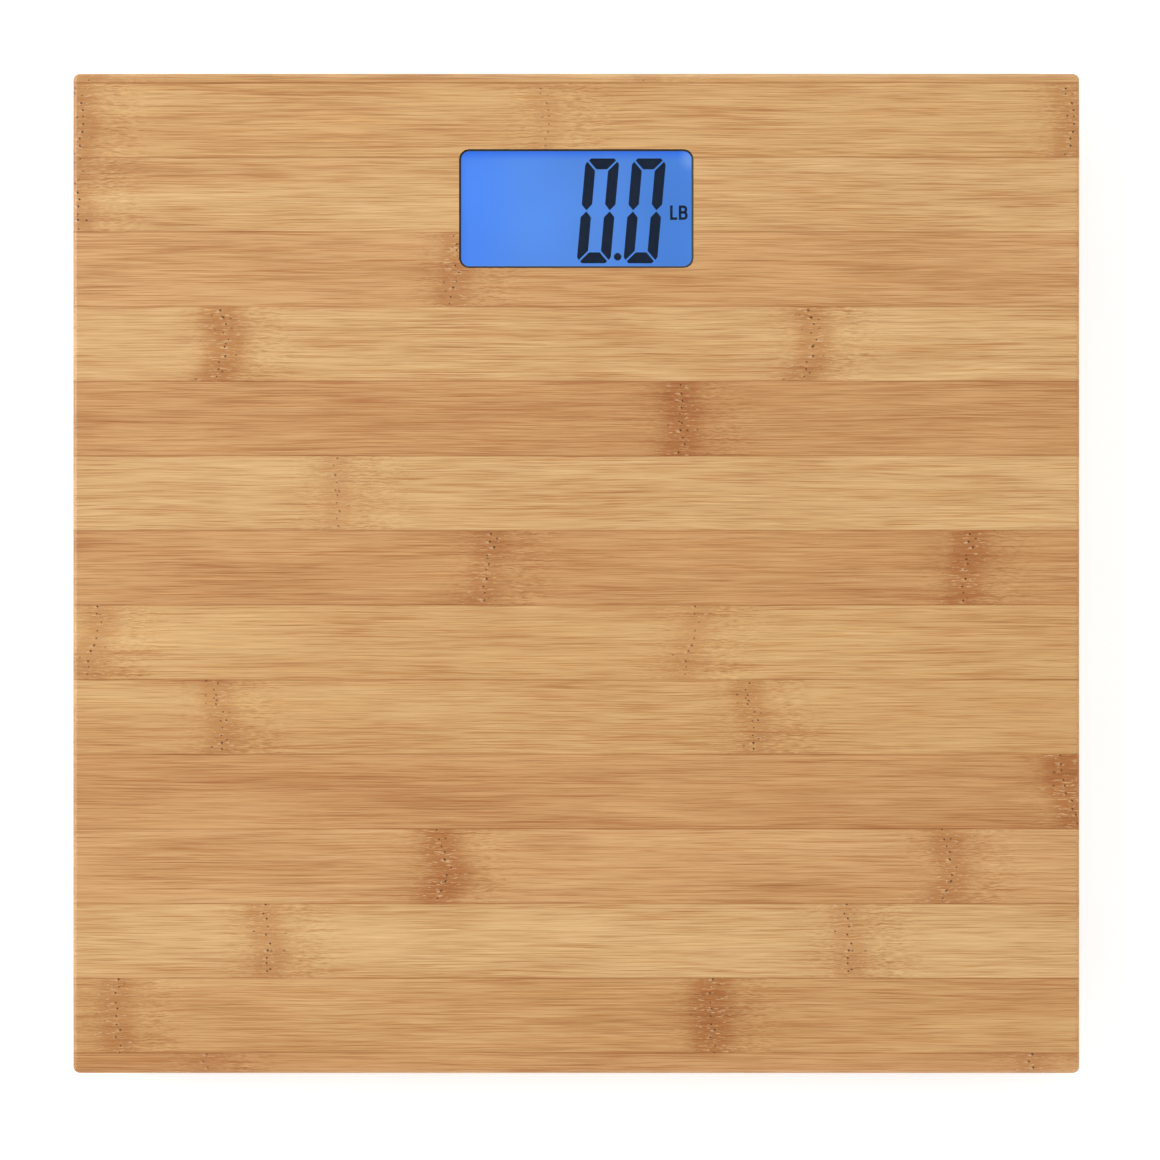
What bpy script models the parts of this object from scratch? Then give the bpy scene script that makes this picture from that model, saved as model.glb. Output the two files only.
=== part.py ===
"""Digital bathroom scale with a laminated bamboo platform, as separate pieces.

Run it with: blender --background --python part.py
Units are metres. +Z is up and +Y points to the display end. The origin is on the
floor, under the middle of the platform.
"""

import math

import bmesh
import bpy
from mathutils import Matrix, Vector

MM = 0.001

# Gaps
FIT = 0.3 * MM  # beside a piece that touches, seats or slides
FILM = 0.1 * MM  # beside a foam or glued layer

# Platform
BOARD_WIDTH = 305 * MM
BOARD_DEPTH = 303 * MM
BOARD_THICKNESS = 15 * MM
BOARD_CORNER = 2 * MM
BOARD_EDGE_ROUND = 1.2 * MM
FLOOR_TO_BOARD = 10 * MM

# Display window
WINDOW_WIDTH = 71 * MM
WINDOW_DEPTH = 36 * MM
WINDOW_CORNER = 3 * MM
WINDOW_FROM_EDGE = 41 * MM  # its middle, from the far edge of the board
LENS_BELOW_TOP = 0.7 * MM
LENS_FLANGE = 3.5 * MM
LENS_FLANGE_THICKNESS = 1 * MM
GASKET_THICKNESS = 0.6 * MM

# Display and circuit board, listed from the top down
LCD_SIDE_MARGIN = 6.5 * MM  # how far the panel runs past the window
LCD_END_MARGIN = 4 * MM
LCD_GLASS = 1.1 * MM
LCD_LEDGE = 3 * MM  # the front sheet of glass runs past the rear one, to meet the contact strip
GUIDE_THICKNESS = 2.2 * MM
GUIDE_SIDE_SPACE = 3 * MM  # room for a lamp bar beside the light guide
LAMP_BAR_WIDTH = 2 * MM
FRAME_WALL = 3 * MM
PCB_THICKNESS = 1.6 * MM
PCB_INSET = 0.6 * MM  # inside the frame's outline
CHIP_RADIUS = 7 * MM
CHIP_HEIGHT = 1.4 * MM
CONTACT_STRIP_WIDTH = 2.2 * MM
CONTACT_STRIP_INSET = 7 * MM  # from each end of the panel

# Electronics pocket and its cover
POCKET_CORNER = 6 * MM
POCKET_SIDE_SPACE = 1.5 * MM  # beside the switch board
FRAME_SIDE_SPACE = 4 * MM
POCKET_END_SPACE = 4 * MM
LEAD_SPACE = 3.3 * MM  # between the battery bay and the display frame
COVER_THICKNESS = 1.6 * MM
COVER_FLANGE_X = 8 * MM
COVER_FLANGE_Y = 6 * MM
COVER_CORNER = 8 * MM
COVER_EDGE_ROUND = 0.8 * MM
POST_RADIUS = 2.2 * MM

# Batteries
CELLS = 3
CELL_LENGTH = 44.5 * MM
CELL_RADIUS = 5.25 * MM
CELL_NUB_RADIUS = 1.9 * MM
CELL_NUB_HEIGHT = 0.8 * MM
CELL_GAP = 0.5 * MM
CONTACT_THICKNESS = 0.4 * MM
CONTACT_INSET = 0.75 * MM  # inside the cell's outline
SPRING_LENGTH = 5.4 * MM
SPRING_WIDE = 3.4 * MM
SPRING_NARROW = 2.1 * MM
SPRING_WIRE = 0.35 * MM
SPRING_TURNS = 3
BAY_WALL = 3.4 * MM
BAY_ROOF = 0.8 * MM

# Battery door
DOOR_THICKNESS = 1.2 * MM
DOOR_LEDGE = 2 * MM  # how far the bay's wall reaches over the door on each side
DOOR_CORNER = 2 * MM
TAB_WIDTH = 8 * MM
TAB_SPREAD = 30 * MM
LATCH_WIDTH = 10 * MM
LATCH_HEIGHT = 2.6 * MM
LATCH_THICKNESS = 1 * MM
RIDGES = 4

# Unit button and its switch
BUTTON_RADIUS = 3.9 * MM
BUTTON_PROUD = 0.5 * MM
BUTTON_FLANGE = 1.3 * MM
BUTTON_TRAVEL = 0.6 * MM
STEM_RADIUS = 1.7 * MM
STEM_LENGTH = 1.5 * MM
SWITCH_SIZE = 6.2 * MM
SWITCH_HEIGHT = 3.6 * MM
PLUNGER_LENGTH = 2.4 * MM
SWITCH_BOARD_SIZE = (13 * MM, 22 * MM)
SWITCH_FROM_BAY = 6 * MM  # leaves room for a load cell's lead

# Feet
FOOT_EDGE_MARGIN = 2.3 * MM  # from the screw ears to the edge of the board
HOUSING_RADIUS = 26.3 * MM
HOUSING_WALL = 1.7 * MM
HOUSING_DEPTH = 5.3 * MM  # how far it reaches into the board
HOUSING_ROOF = 1.3 * MM
HOUSING_FLANGE = 3.2 * MM
FLANGE_THICKNESS = 1.6 * MM
LIP_WIDTH = 2 * MM
LIP_THICKNESS = 0.8 * MM
EAR_RADIUS = 4.5 * MM
EAR_FROM_RIM = 1.7 * MM
CELL_PLATE_GAP = 2.6 * MM  # from its corners to the housing's wall
CELL_PLATE_CORNER = 5 * MM
CELL_PLATE_THICKNESS = 2 * MM
TONGUE_WIDTH = 13 * MM
TONGUE_SLOT = 2.5 * MM
RAIL_WIDTH = 3 * MM
RAIL_HEIGHT = 0.5 * MM
FOOT_TRAVEL = 0.8 * MM
FOOT_WALL = 1.5 * MM
FOOT_PLAY = 0.7 * MM  # between the foot and the housing's lip
FOOT_FLOOR = 2.4 * MM
SKIRT_GAP = 2.1 * MM  # left under the housing when the foot is pressed right in
SKIRT_WIDTH = 2.2 * MM
HOOKS = 3
HOOK_ANGLE = math.radians(24)
BOSS_RADIUS = 5 * MM
PAD_MARGIN = 7 * MM  # ring of plastic left round the pad
PAD_PROUD = 1.6 * MM
PAD_SEAT = 1 * MM

# Leads and screws
GROOVE_WIDTH = 5 * MM
GROOVE_DEPTH = 4 * MM
LEAD_FROM_BAY = 4.4 * MM  # from the bay's wall to the middle of a front foot's lead
LEAD_BEND = 7 * MM  # straight to this far from the pocket, then it turns in
LEAD_ON_BOARD = 1.2 * MM  # how far a lead reaches over the edge of the circuit board
LEAD_RADIUS = 1 * MM
THIN_LEAD_RADIUS = 0.6 * MM
SCREW_HEAD_RADIUS = 3.1 * MM
SCREW_HEAD_HEIGHT = 1.5 * MM
SCREW_SHANK_RADIUS = 1.25 * MM
SCREW_LENGTH = 9 * MM
CROSS_WIDTH = 0.8 * MM
CROSS_DEPTH = 0.9 * MM

ROUND_STEPS = 24
MEDIUM_STEPS = 16
SMALL_STEPS = 10

# Heights that follow from the sizes above
board_bottom = FLOOR_TO_BOARD
board_top = board_bottom + BOARD_THICKNESS
cover_top = board_bottom - FIT
cover_low = cover_top - COVER_THICKNESS
door_top = cover_low + DOOR_THICKNESS
cell_axis_z = door_top + FIT + CELL_RADIUS
bay_ceiling = cell_axis_z + CELL_RADIUS + FIT
bay_top = bay_ceiling + BAY_ROOF
pocket_ceiling = bay_top + FIT
gasket_top = pocket_ceiling - FILM
gasket_low = gasket_top - GASKET_THICKNESS
flange_top = gasket_low - FILM
flange_low = flange_top - LENS_FLANGE_THICKNESS
lcd_top = flange_low - FIT
lcd_low = lcd_top - 2 * LCD_GLASS
guide_top = lcd_low - FILM
guide_low = guide_top - GUIDE_THICKNESS
pcb_top = guide_low - FIT
pcb_low = pcb_top - PCB_THICKNESS

# Places in plan
window_y = BOARD_DEPTH / 2 - WINDOW_FROM_EDGE
lcd_width = WINDOW_WIDTH + 2 * LCD_SIDE_MARGIN
lcd_depth = WINDOW_DEPTH + 2 * LCD_END_MARGIN
frame_inner_low = window_y - lcd_depth / 2 - LCD_LEDGE - FIT
frame_inner_high = window_y + lcd_depth / 2 + FIT
frame_middle = (frame_inner_low + frame_inner_high) / 2
frame_inner = (lcd_width + 2 * FIT, frame_inner_high - frame_inner_low)
frame_outer = (frame_inner[0] + 2 * FRAME_WALL, frame_inner[1] + 2 * FRAME_WALL)
pcb_size = (frame_outer[0] - 2 * PCB_INSET, frame_outer[1] - 2 * PCB_INSET)
cell_pitch = 2 * CELL_RADIUS + CELL_GAP
cell_pitches = [(index - (CELLS - 1) / 2) * cell_pitch for index in range(CELLS)]
bay_inner = (
    CELL_LENGTH + SPRING_LENGTH + 2 * CONTACT_THICKNESS + 4 * FIT,
    CELLS * cell_pitch + 2 * CELL_GAP,
)
bay_outer = (bay_inner[0] + 2 * BAY_WALL, bay_inner[1] + 2 * BAY_WALL)
bay_y = frame_middle - frame_outer[1] / 2 - LEAD_SPACE - bay_outer[1] / 2
pocket_low_y = bay_y - bay_outer[1] / 2 - 1 * MM
pocket_high_y = frame_middle + frame_outer[1] / 2 + POCKET_END_SPACE
pocket_y = (pocket_low_y + pocket_high_y) / 2
button_x = bay_outer[0] / 2 + SWITCH_FROM_BAY + SWITCH_BOARD_SIZE[0] / 2
switch_side = button_x + SWITCH_BOARD_SIZE[0] / 2 + POCKET_SIDE_SPACE
pocket_side = max(switch_side, frame_outer[0] / 2 + FRAME_SIDE_SPACE)
pocket = (2 * pocket_side, pocket_high_y - pocket_low_y)
cover = (pocket[0] + 2 * COVER_FLANGE_X, pocket[1] + 2 * COVER_FLANGE_Y)
door = (bay_inner[0] + 2 * DOOR_LEDGE, bay_inner[1] + 2 * DOOR_LEDGE)
hinge_y = bay_y + door[1] / 2
lead_entry_x = bay_outer[0] / 2 + LEAD_FROM_BAY
housing_hollow = HOUSING_RADIUS - HOUSING_WALL
lip_radius = housing_hollow - LIP_WIDTH
foot_radius = lip_radius - FOOT_PLAY
skirt_radius = foot_radius + SKIRT_WIDTH
pad_radius = skirt_radius - PAD_MARGIN
cell_plate_corner_from_middle = housing_hollow - CELL_PLATE_GAP - CELL_PLATE_CORNER
cell_plate = 2 * (cell_plate_corner_from_middle / math.sqrt(2) + CELL_PLATE_CORNER)
ear_distance = HOUSING_RADIUS + HOUSING_FLANGE + EAR_FROM_RIM
foot_inset = ear_distance + EAR_RADIUS + FOOT_EDGE_MARGIN
foot_x = BOARD_WIDTH / 2 - foot_inset
foot_y = BOARD_DEPTH / 2 - foot_inset


# ---- Making shapes ---------------------------------------------------------


def rounded_rectangle(width, depth, radius, middle=(0, 0), steps=4):
    """An outline with round corners, counter-clockwise."""
    points = []
    for turn, (side_x, side_y) in enumerate(((1, 1), (-1, 1), (-1, -1), (1, -1))):
        corner = Vector((side_x * (width / 2 - radius), side_y * (depth / 2 - radius)))
        for step in range(steps + 1):
            angle = (turn + step / steps) * math.pi / 2
            point = corner + radius * Vector((math.cos(angle), math.sin(angle)))
            points.append((point.x + middle[0], point.y + middle[1]))
    return points


def rectangle(width, depth, middle=(0, 0)):
    """An outline with square corners, counter-clockwise."""
    sides = ((1, 1), (-1, 1), (-1, -1), (1, -1))
    return [(middle[0] + x * width / 2, middle[1] + y * depth / 2) for x, y in sides]


def prism(outline, low, high):
    """The outline raised from one height to another."""
    shape = bmesh.new()
    base = shape.faces.new([shape.verts.new((x, y, low)) for x, y in outline])
    raised = bmesh.ops.extrude_face_region(shape, geom=[base])["geom"]
    tops = [item for item in raised if isinstance(item, bmesh.types.BMVert)]
    bmesh.ops.translate(shape, verts=tops, vec=(0, 0, high - low))
    bmesh.ops.recalc_face_normals(shape, faces=shape.faces)
    return shape


def turned(profile, steps=ROUND_STEPS):
    """A profile of (radius, height) points turned round the Z axis."""
    shape = bmesh.new()
    points = [shape.verts.new((radius, 0, height)) for radius, height in profile]
    pairs = list(zip(points, points[1:]))
    if profile[0][0] > 0:
        pairs.append((points[-1], points[0]))
    edges = [shape.edges.new(pair) for pair in pairs]
    bmesh.ops.spin(
        shape, geom=points + edges, axis=(0, 0, 1), cent=(0, 0, 0), angle=math.tau, steps=steps
    )
    bmesh.ops.remove_doubles(shape, verts=shape.verts, dist=1e-7)
    bmesh.ops.recalc_face_normals(shape, faces=shape.faces)
    return shape


def turned_part(profile, angle, steps=2):
    """A closed (radius, height) profile turned through part of a circle, centred on +X."""
    shape = bmesh.new()
    face = shape.faces.new([shape.verts.new((radius, 0, height)) for radius, height in profile])
    turn = Matrix.Rotation(-angle / 2, 3, "Z")
    bmesh.ops.rotate(shape, verts=shape.verts, cent=(0, 0, 0), matrix=turn)
    bmesh.ops.spin(
        shape, geom=[face], axis=(0, 0, 1), cent=(0, 0, 0), angle=angle, steps=steps
    )
    bmesh.ops.recalc_face_normals(shape, faces=shape.faces)
    return shape


def round_edges(shape, height, radius, segments):
    """Rounds the rim that lies at one height."""
    rim = [e for e in shape.edges if all(abs(v.co.z - height) < 1e-7 for v in e.verts)]
    bmesh.ops.bevel(
        shape, geom=rim, offset=radius, segments=segments, profile=0.5, affect="EDGES"
    )
    return shape


def across(shape):
    """Turns a shape so that its Z axis runs along X, and its X and Y become Y and Z."""
    turn = Matrix(((0, 0, 1), (1, 0, 0), (0, 1, 0)))
    bmesh.ops.transform(shape, verts=shape.verts, matrix=turn.to_4x4())
    return shape


# ---- Making objects --------------------------------------------------------


def clear_scene():
    for item in list(bpy.data.objects):
        bpy.data.objects.remove(item)


def finish(name, colour, roughness, metallic=0.0, alpha=1.0):
    made = bpy.data.materials.new(name)
    made.use_nodes = True
    shader = made.node_tree.nodes["Principled BSDF"]
    shader.inputs["Base Color"].default_value = (*colour, 1)
    shader.inputs["Roughness"].default_value = roughness
    shader.inputs["Metallic"].default_value = metallic
    shader.inputs["Alpha"].default_value = alpha
    return made


def place(item, parent=None, location=(0, 0, 0), rotation=(0, 0, 0)):
    bpy.context.scene.collection.objects.link(item)
    item.parent = parent
    item.location = location
    item.rotation_euler = rotation
    return item


def part(name, shape, material, **where):
    """A named piece from a shape, with round sides shaded smooth."""
    mesh = bpy.data.meshes.new(name)
    shape.to_mesh(mesh)
    shape.free()
    mesh.shade_smooth()
    mesh.set_sharp_from_angle(angle=math.radians(35))
    mesh.materials.append(material)
    return place(bpy.data.objects.new(name, mesh), **where)


def helper(name, shape, **where):
    """A shape that only cuts or adds to others."""
    mesh = bpy.data.meshes.new(name)
    shape.to_mesh(mesh)
    shape.free()
    item = place(bpy.data.objects.new(name, mesh), **where)
    item.hide_render = True
    item.display_type = "WIRE"
    return item


def change(target, operation, *helpers):
    for tool in helpers:
        modifier = target.modifiers.new(tool.name, "BOOLEAN")
        modifier.operation = operation
        modifier.solver = "EXACT"
        modifier.object = tool


def cut(target, *helpers):
    change(target, "DIFFERENCE", *helpers)


def add(target, *helpers):
    change(target, "UNION", *helpers)


def wire(name, points, radius, material, smooth=True):
    """A round wire along points. A smooth one curves through them."""
    curve = bpy.data.curves.new(name, "CURVE")
    curve.dimensions = "3D"
    curve.bevel_depth = radius
    curve.bevel_resolution = 1
    curve.use_fill_caps = True
    spline = curve.splines.new("BEZIER" if smooth else "POLY")
    if smooth:
        curve.resolution_u = 3
        spline.bezier_points.add(len(points) - 1)
        for knot, point in zip(spline.bezier_points, points):
            knot.co = point
            knot.handle_left_type = knot.handle_right_type = "AUTO"
    else:
        spline.points.add(len(points) - 1)
        for knot, point in zip(spline.points, points):
            knot.co = (*point, 1)
    curve.materials.append(material)
    return place(bpy.data.objects.new(name, curve))


# ---- The feet's places -----------------------------------------------------


FEET = {
    "front_left": (-1, -1),
    "front_right": (1, -1),
    "rear_left": (-1, 1),
    "rear_right": (1, 1),
}


def foot_layout(name):
    """The foot's middle and the point where its groove meets the pocket."""
    side_x, side_y = FEET[name]
    middle = Vector((side_x * foot_x, side_y * foot_y))
    if side_y > 0:
        return middle, Vector((side_x * pocket[0] / 2, middle.y))
    return middle, Vector((side_x * lead_entry_x, pocket_low_y))


# ---- Platform --------------------------------------------------------------


def make_board(material, feet):
    outline = rounded_rectangle(BOARD_WIDTH, BOARD_DEPTH, BOARD_CORNER, steps=6)
    shape = prism(outline, board_bottom, board_top)
    for height in (board_bottom, board_top):
        round_edges(shape, height, BOARD_EDGE_ROUND, 3)
    board = part("bamboo_board", shape, material)
    below = board_bottom - 5 * MM
    above = board_top + 5 * MM
    window = rounded_rectangle(WINDOW_WIDTH, WINDOW_DEPTH, WINDOW_CORNER, (0, window_y))
    recess = rounded_rectangle(*pocket, POCKET_CORNER, (0, pocket_y))
    cut(
        board,
        helper("pocket_cut", prism(recess, below, pocket_ceiling)),
        helper("window_cut", prism(window, board_bottom, above)),
    )
    seat = HOUSING_RADIUS + FIT
    for name, foot in feet.items():
        middle, entry = foot_layout(name)
        run = (entry - middle).length
        groove = rectangle(run, GROOVE_WIDTH, (run / 2 + seat / 2, 0))
        seat_shape = turned(
            [(0, board_bottom + HOUSING_DEPTH + FIT), (seat, board_bottom + HOUSING_DEPTH + FIT),
             (seat, below), (0, below)]
        )
        cut(
            board,
            helper(f"seat_cut_{name}", seat_shape, parent=foot),
            helper(f"groove_cut_{name}", prism(groove, below, board_bottom + GROOVE_DEPTH),
                   parent=foot),
        )
        for side in (-1, 1):
            cut(board, pilot(f"pilot_{name}_{side}", (0, side * ear_distance), foot))
    for index, place_xy in enumerate(cover_screw_places()):
        cut(board, pilot(f"pilot_cover_{index}", place_xy, None))
    return board


def pilot(name, place_xy, parent):
    """A blind hole for a screw's shank, in the underside of the board."""
    radius = SCREW_SHANK_RADIUS + FIT
    top = cover_low + SCREW_LENGTH + FIT
    profile = [(0, top), (radius, top), (radius, cover_low), (0, cover_low)]
    return helper(name, turned(profile, SMALL_STEPS), parent=parent, location=(*place_xy, 0))


# ---- Display ---------------------------------------------------------------


def make_display(finishes):
    middle = (0, window_y)
    clear, foam, glass = finishes["acrylic"], finishes["foam"], finishes["glass"]

    flange = (WINDOW_WIDTH + 2 * LENS_FLANGE, WINDOW_DEPTH + 2 * LENS_FLANGE)
    boss = rounded_rectangle(
        WINDOW_WIDTH - 2 * FIT, WINDOW_DEPTH - 2 * FIT, WINDOW_CORNER - FIT, middle
    )
    lens_top = board_top - LENS_BELOW_TOP
    boss_low = flange_low + LENS_FLANGE_THICKNESS / 2
    lens = part(
        "window_lens", round_edges(prism(boss, boss_low, lens_top), lens_top, 0.3 * MM, 2), clear
    )
    base = rounded_rectangle(*flange, WINDOW_CORNER, middle)
    add(lens, helper("lens_flange", prism(base, flange_low, flange_top)))

    gasket = part("lens_gasket", prism(base, gasket_low, gasket_top), foam)
    hole = rounded_rectangle(WINDOW_WIDTH + FIT, WINDOW_DEPTH + FIT, WINDOW_CORNER, middle)
    cut(gasket, helper("gasket_hole", prism(hole, gasket_low - MM, gasket_top + MM)))

    front_middle = (0, window_y - LCD_LEDGE / 2)
    front = rectangle(lcd_width, lcd_depth + LCD_LEDGE, front_middle)
    rear = rectangle(lcd_width - FILM, lcd_depth - FILM, middle)
    panel = part("lcd_panel", prism(front, lcd_top - LCD_GLASS, lcd_top), glass)
    add(panel, helper("lcd_rear_glass", prism(rear, lcd_low, lcd_top - LCD_GLASS / 2)))

    guide = rectangle(lcd_width - 2 * GUIDE_SIDE_SPACE, lcd_depth - 2 * FIT, middle)
    part("backlight_guide", prism(guide, guide_low, guide_top), finishes["backlight"])
    bar_x = lcd_width / 2 - GUIDE_SIDE_SPACE + FIT + LAMP_BAR_WIDTH / 2
    bar = rectangle(LAMP_BAR_WIDTH, lcd_depth - 4 * MM, (-bar_x, window_y))
    part("backlight_lamp_bar", prism(bar, guide_low + FILM, guide_top - FILM), finishes["lamp"])

    strip_y = window_y - lcd_depth / 2 - LCD_LEDGE / 2
    strip = rectangle(lcd_width - 2 * CONTACT_STRIP_INSET, CONTACT_STRIP_WIDTH, (0, strip_y))
    part(
        "contact_strip",
        prism(strip, pcb_top + FILM, lcd_top - LCD_GLASS - FILM),
        finishes["silicone"],
    )


def make_circuit(finishes):
    outer = rounded_rectangle(*frame_outer, 1.5 * MM, (0, frame_middle))
    inner = rectangle(*frame_inner, (0, frame_middle))
    frame_low = pcb_top + FILM
    frame = part("display_frame", prism(outer, frame_low, lcd_top), finishes["black_plastic"])
    cut(frame, helper("frame_hole", prism(inner, frame_low - MM, lcd_top + MM)))

    card = rectangle(*pcb_size, (0, frame_middle))
    part("main_circuit_board", prism(card, pcb_low, pcb_top), finishes["circuit_board"])
    chip_top = pcb_low - FILM
    chip = turned(
        [(0, chip_top), (CHIP_RADIUS, chip_top), (CHIP_RADIUS * 0.8, chip_top - CHIP_HEIGHT * 0.8),
         (CHIP_RADIUS * 0.4, chip_top - CHIP_HEIGHT), (0, chip_top - CHIP_HEIGHT)],
        MEDIUM_STEPS,
    )
    part("controller_chip", chip, finishes["black_plastic"], location=(0, frame_middle, 0))


# ---- Cover, battery bay and door -------------------------------------------


def cover_screw_places():
    x = pocket[0] / 2 + COVER_FLANGE_X / 2
    y = pocket[1] / 2
    return [(side_x * x, pocket_y + side_y * y) for side_x in (-1, 1) for side_y in (-1, 1)]


def post(name, middle, radius, top):
    """A round post that stands in the cover's plate."""
    low = cover_low + COVER_THICKNESS / 2
    profile = [(0, top), (radius, top), (radius, low), (0, low)]
    return helper(name, turned(profile, SMALL_STEPS), location=(*middle, 0))


def make_cover(finishes):
    plate = rounded_rectangle(*cover, COVER_CORNER, (0, pocket_y), steps=6)
    shape = round_edges(prism(plate, cover_low, cover_top), cover_low, COVER_EDGE_ROUND, 2)
    made = part("rear_cover", shape, finishes["grey_plastic"])
    below = cover_low - MM
    middle = (0, bay_y)
    bay = rounded_rectangle(*bay_outer, 2 * MM, middle)
    add(made, helper("bay_block", prism(bay, cover_low + 0.5 * MM, bay_top)))
    post_x, post_y = pcb_size[0] / 2 - 4 * MM, pcb_size[1] / 2 - 4 * MM
    for index, (side_x, side_y) in enumerate(FEET.values()):
        place_xy = (side_x * post_x, frame_middle + side_y * post_y)
        add(made, post(f"pcb_post_{index}", place_xy, POST_RADIUS, pcb_low - FIT))
    switch_top = switch_heights()["board_low"] - FIT
    for side in (-1, 1):
        place_xy = (button_x, bay_y + side * (SWITCH_BOARD_SIZE[1] / 2 - 2.5 * MM))
        add(made, post(f"switch_post_{side}", place_xy, POST_RADIUS - 0.4 * MM, switch_top))

    door_hole = rounded_rectangle(door[0] + 2 * FIT, door[1] + 2 * FIT, DOOR_CORNER + FIT, middle)
    hollow = rectangle(*bay_inner, middle)
    cut(
        made,
        helper("bay_hollow", prism(hollow, below, bay_ceiling)),
        helper("door_recess", prism(door_hole, below, door_top + FIT)),
    )
    for side in (-1, 1):
        slot = rectangle(
            TAB_WIDTH + 4 * FIT, 6 * MM, (side * TAB_SPREAD / 2, hinge_y - 0.5 * MM)
        )
        cut(made, helper(f"tab_slot_{side}", prism(slot, door_top, door_top + 3 * MM)))
    latch_y = bay_y - door[1] / 2 + 1 * MM
    notch = rectangle(LATCH_WIDTH + 4 * FIT, 3.2 * MM, (0, latch_y))
    notch_top = door_top + LATCH_HEIGHT + 2 * FIT
    cut(made, helper("latch_notch", prism(notch, door_top, notch_top)))
    scoop = turned(
        [(0, cover_low + 0.8 * MM), (4.5 * MM, cover_low + 0.65 * MM),
         (7 * MM, cover_low - 0.05 * MM), (7 * MM, below), (0, below)],
        MEDIUM_STEPS,
    )
    cut(made, helper("finger_scoop", scoop, location=(0, bay_y - door[1] / 2, 0)))

    button_hole = [(0, cover_top + MM), (BUTTON_RADIUS + FIT, cover_top + MM),
                   (BUTTON_RADIUS + FIT, below), (0, below)]
    cut(made, helper("button_hole", turned(button_hole, MEDIUM_STEPS), location=(button_x, bay_y, 0)))
    for index, place_xy in enumerate(cover_screw_places()):
        cut(made, screw_hole(f"cover_screw_hole_{index}", place_xy, None))
    lead_height = bay_ceiling - 2 * MM
    for name, slot in battery_lead_slots().items():
        cut(made, helper(f"{name}_slot", prism(slot, lead_height, bay_ceiling - 0.2 * MM)))
    return made


def screw_hole(name, place_xy, parent):
    radius = SCREW_SHANK_RADIUS + FIT
    profile = [(0, cover_top + MM), (radius, cover_top + MM), (radius, cover_low - MM),
               (0, cover_low - MM)]
    return helper(name, turned(profile, SMALL_STEPS), parent=parent, location=(*place_xy, 0))


def make_battery_door(finishes):
    """The door's origin is on its hinge axis: the lower outer edge beside the tabs."""
    outline = rounded_rectangle(*door, DOOR_CORNER, (0, -door[1] / 2))
    made = part(
        "battery_door",
        prism(outline, 0, DOOR_THICKNESS),
        finishes["grey_plastic"],
        location=(0, hinge_y, cover_low),
    )
    root, over = DOOR_THICKNESS * 0.7, COVER_THICKNESS + FIT
    hook = [(-1.8 * MM, root), (-0.4 * MM, root), (-0.4 * MM, over), (1.4 * MM, over),
            (1.4 * MM, over + 0.8 * MM), (-1.8 * MM, over + 0.8 * MM)]
    for side in (-1, 1):
        low = side * TAB_SPREAD / 2 - TAB_WIDTH / 2
        add(made, helper(f"door_tab_{side}", across(prism(hook, low, low + TAB_WIDTH)),
                         parent=made))
    latch = rectangle(LATCH_WIDTH, LATCH_THICKNESS, (0, LATCH_THICKNESS - door[1]))
    add(made, helper("door_latch", prism(latch, root, DOOR_THICKNESS + LATCH_HEIGHT), parent=made))
    for index in range(RIDGES):
        ridge_y = -door[1] + 4 * MM + index * 1.6 * MM
        ridge = rectangle(14 * MM, 0.6 * MM, (0, ridge_y))
        groove = prism(ridge, -MM, 0.35 * MM)
        cut(made, helper(f"door_grip_{index}", groove, parent=made))
    return made


# ---- Batteries -------------------------------------------------------------


def cell_side(index):
    """+1 where the cell's nub points to +X. Neighbours point opposite ways."""
    return 1 if index % 2 == 0 else -1


def make_batteries(finishes):
    body = CELL_LENGTH - CELL_NUB_HEIGHT
    profile = [
        (0, CELL_LENGTH), (CELL_NUB_RADIUS, CELL_LENGTH), (CELL_NUB_RADIUS, body),
        (CELL_RADIUS - 0.6 * MM, body), (CELL_RADIUS, body - 0.5 * MM),
        (CELL_RADIUS, 0.4 * MM), (CELL_RADIUS - 0.5 * MM, 0), (0, 0),
    ]
    reach = bay_inner[0] / 2 - FIT - CONTACT_THICKNESS - FIT
    for index, offset in enumerate(cell_pitches):
        side = cell_side(index)
        part(
            f"battery_{index + 1}",
            turned(profile, MEDIUM_STEPS),
            finishes["battery"],
            location=(side * (reach - CELL_LENGTH), bay_y + offset, cell_axis_z),
            rotation=(0, side * math.pi / 2, 0),
        )
        make_spring(index, -side, bay_y + offset, reach, finishes["steel"])
    make_contacts(finishes["steel"])


def make_spring(index, side, y, reach, material):
    """A cone of wire that pushes on the flat end of a cell."""
    steps = 8
    count = SPRING_TURNS * steps
    points = []
    for step in range(count + 1):
        share = step / count
        angle = share * SPRING_TURNS * math.tau
        radius = SPRING_WIDE + (SPRING_NARROW - SPRING_WIDE) * share
        along = reach - SPRING_WIRE - share * (SPRING_LENGTH - 2 * SPRING_WIRE - FIT)
        points.append(
            (side * along, y + radius * math.cos(angle), cell_axis_z + radius * math.sin(angle))
        )
    wire(f"battery_spring_{index + 1}", points, SPRING_WIRE, material, smooth=False)


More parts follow.
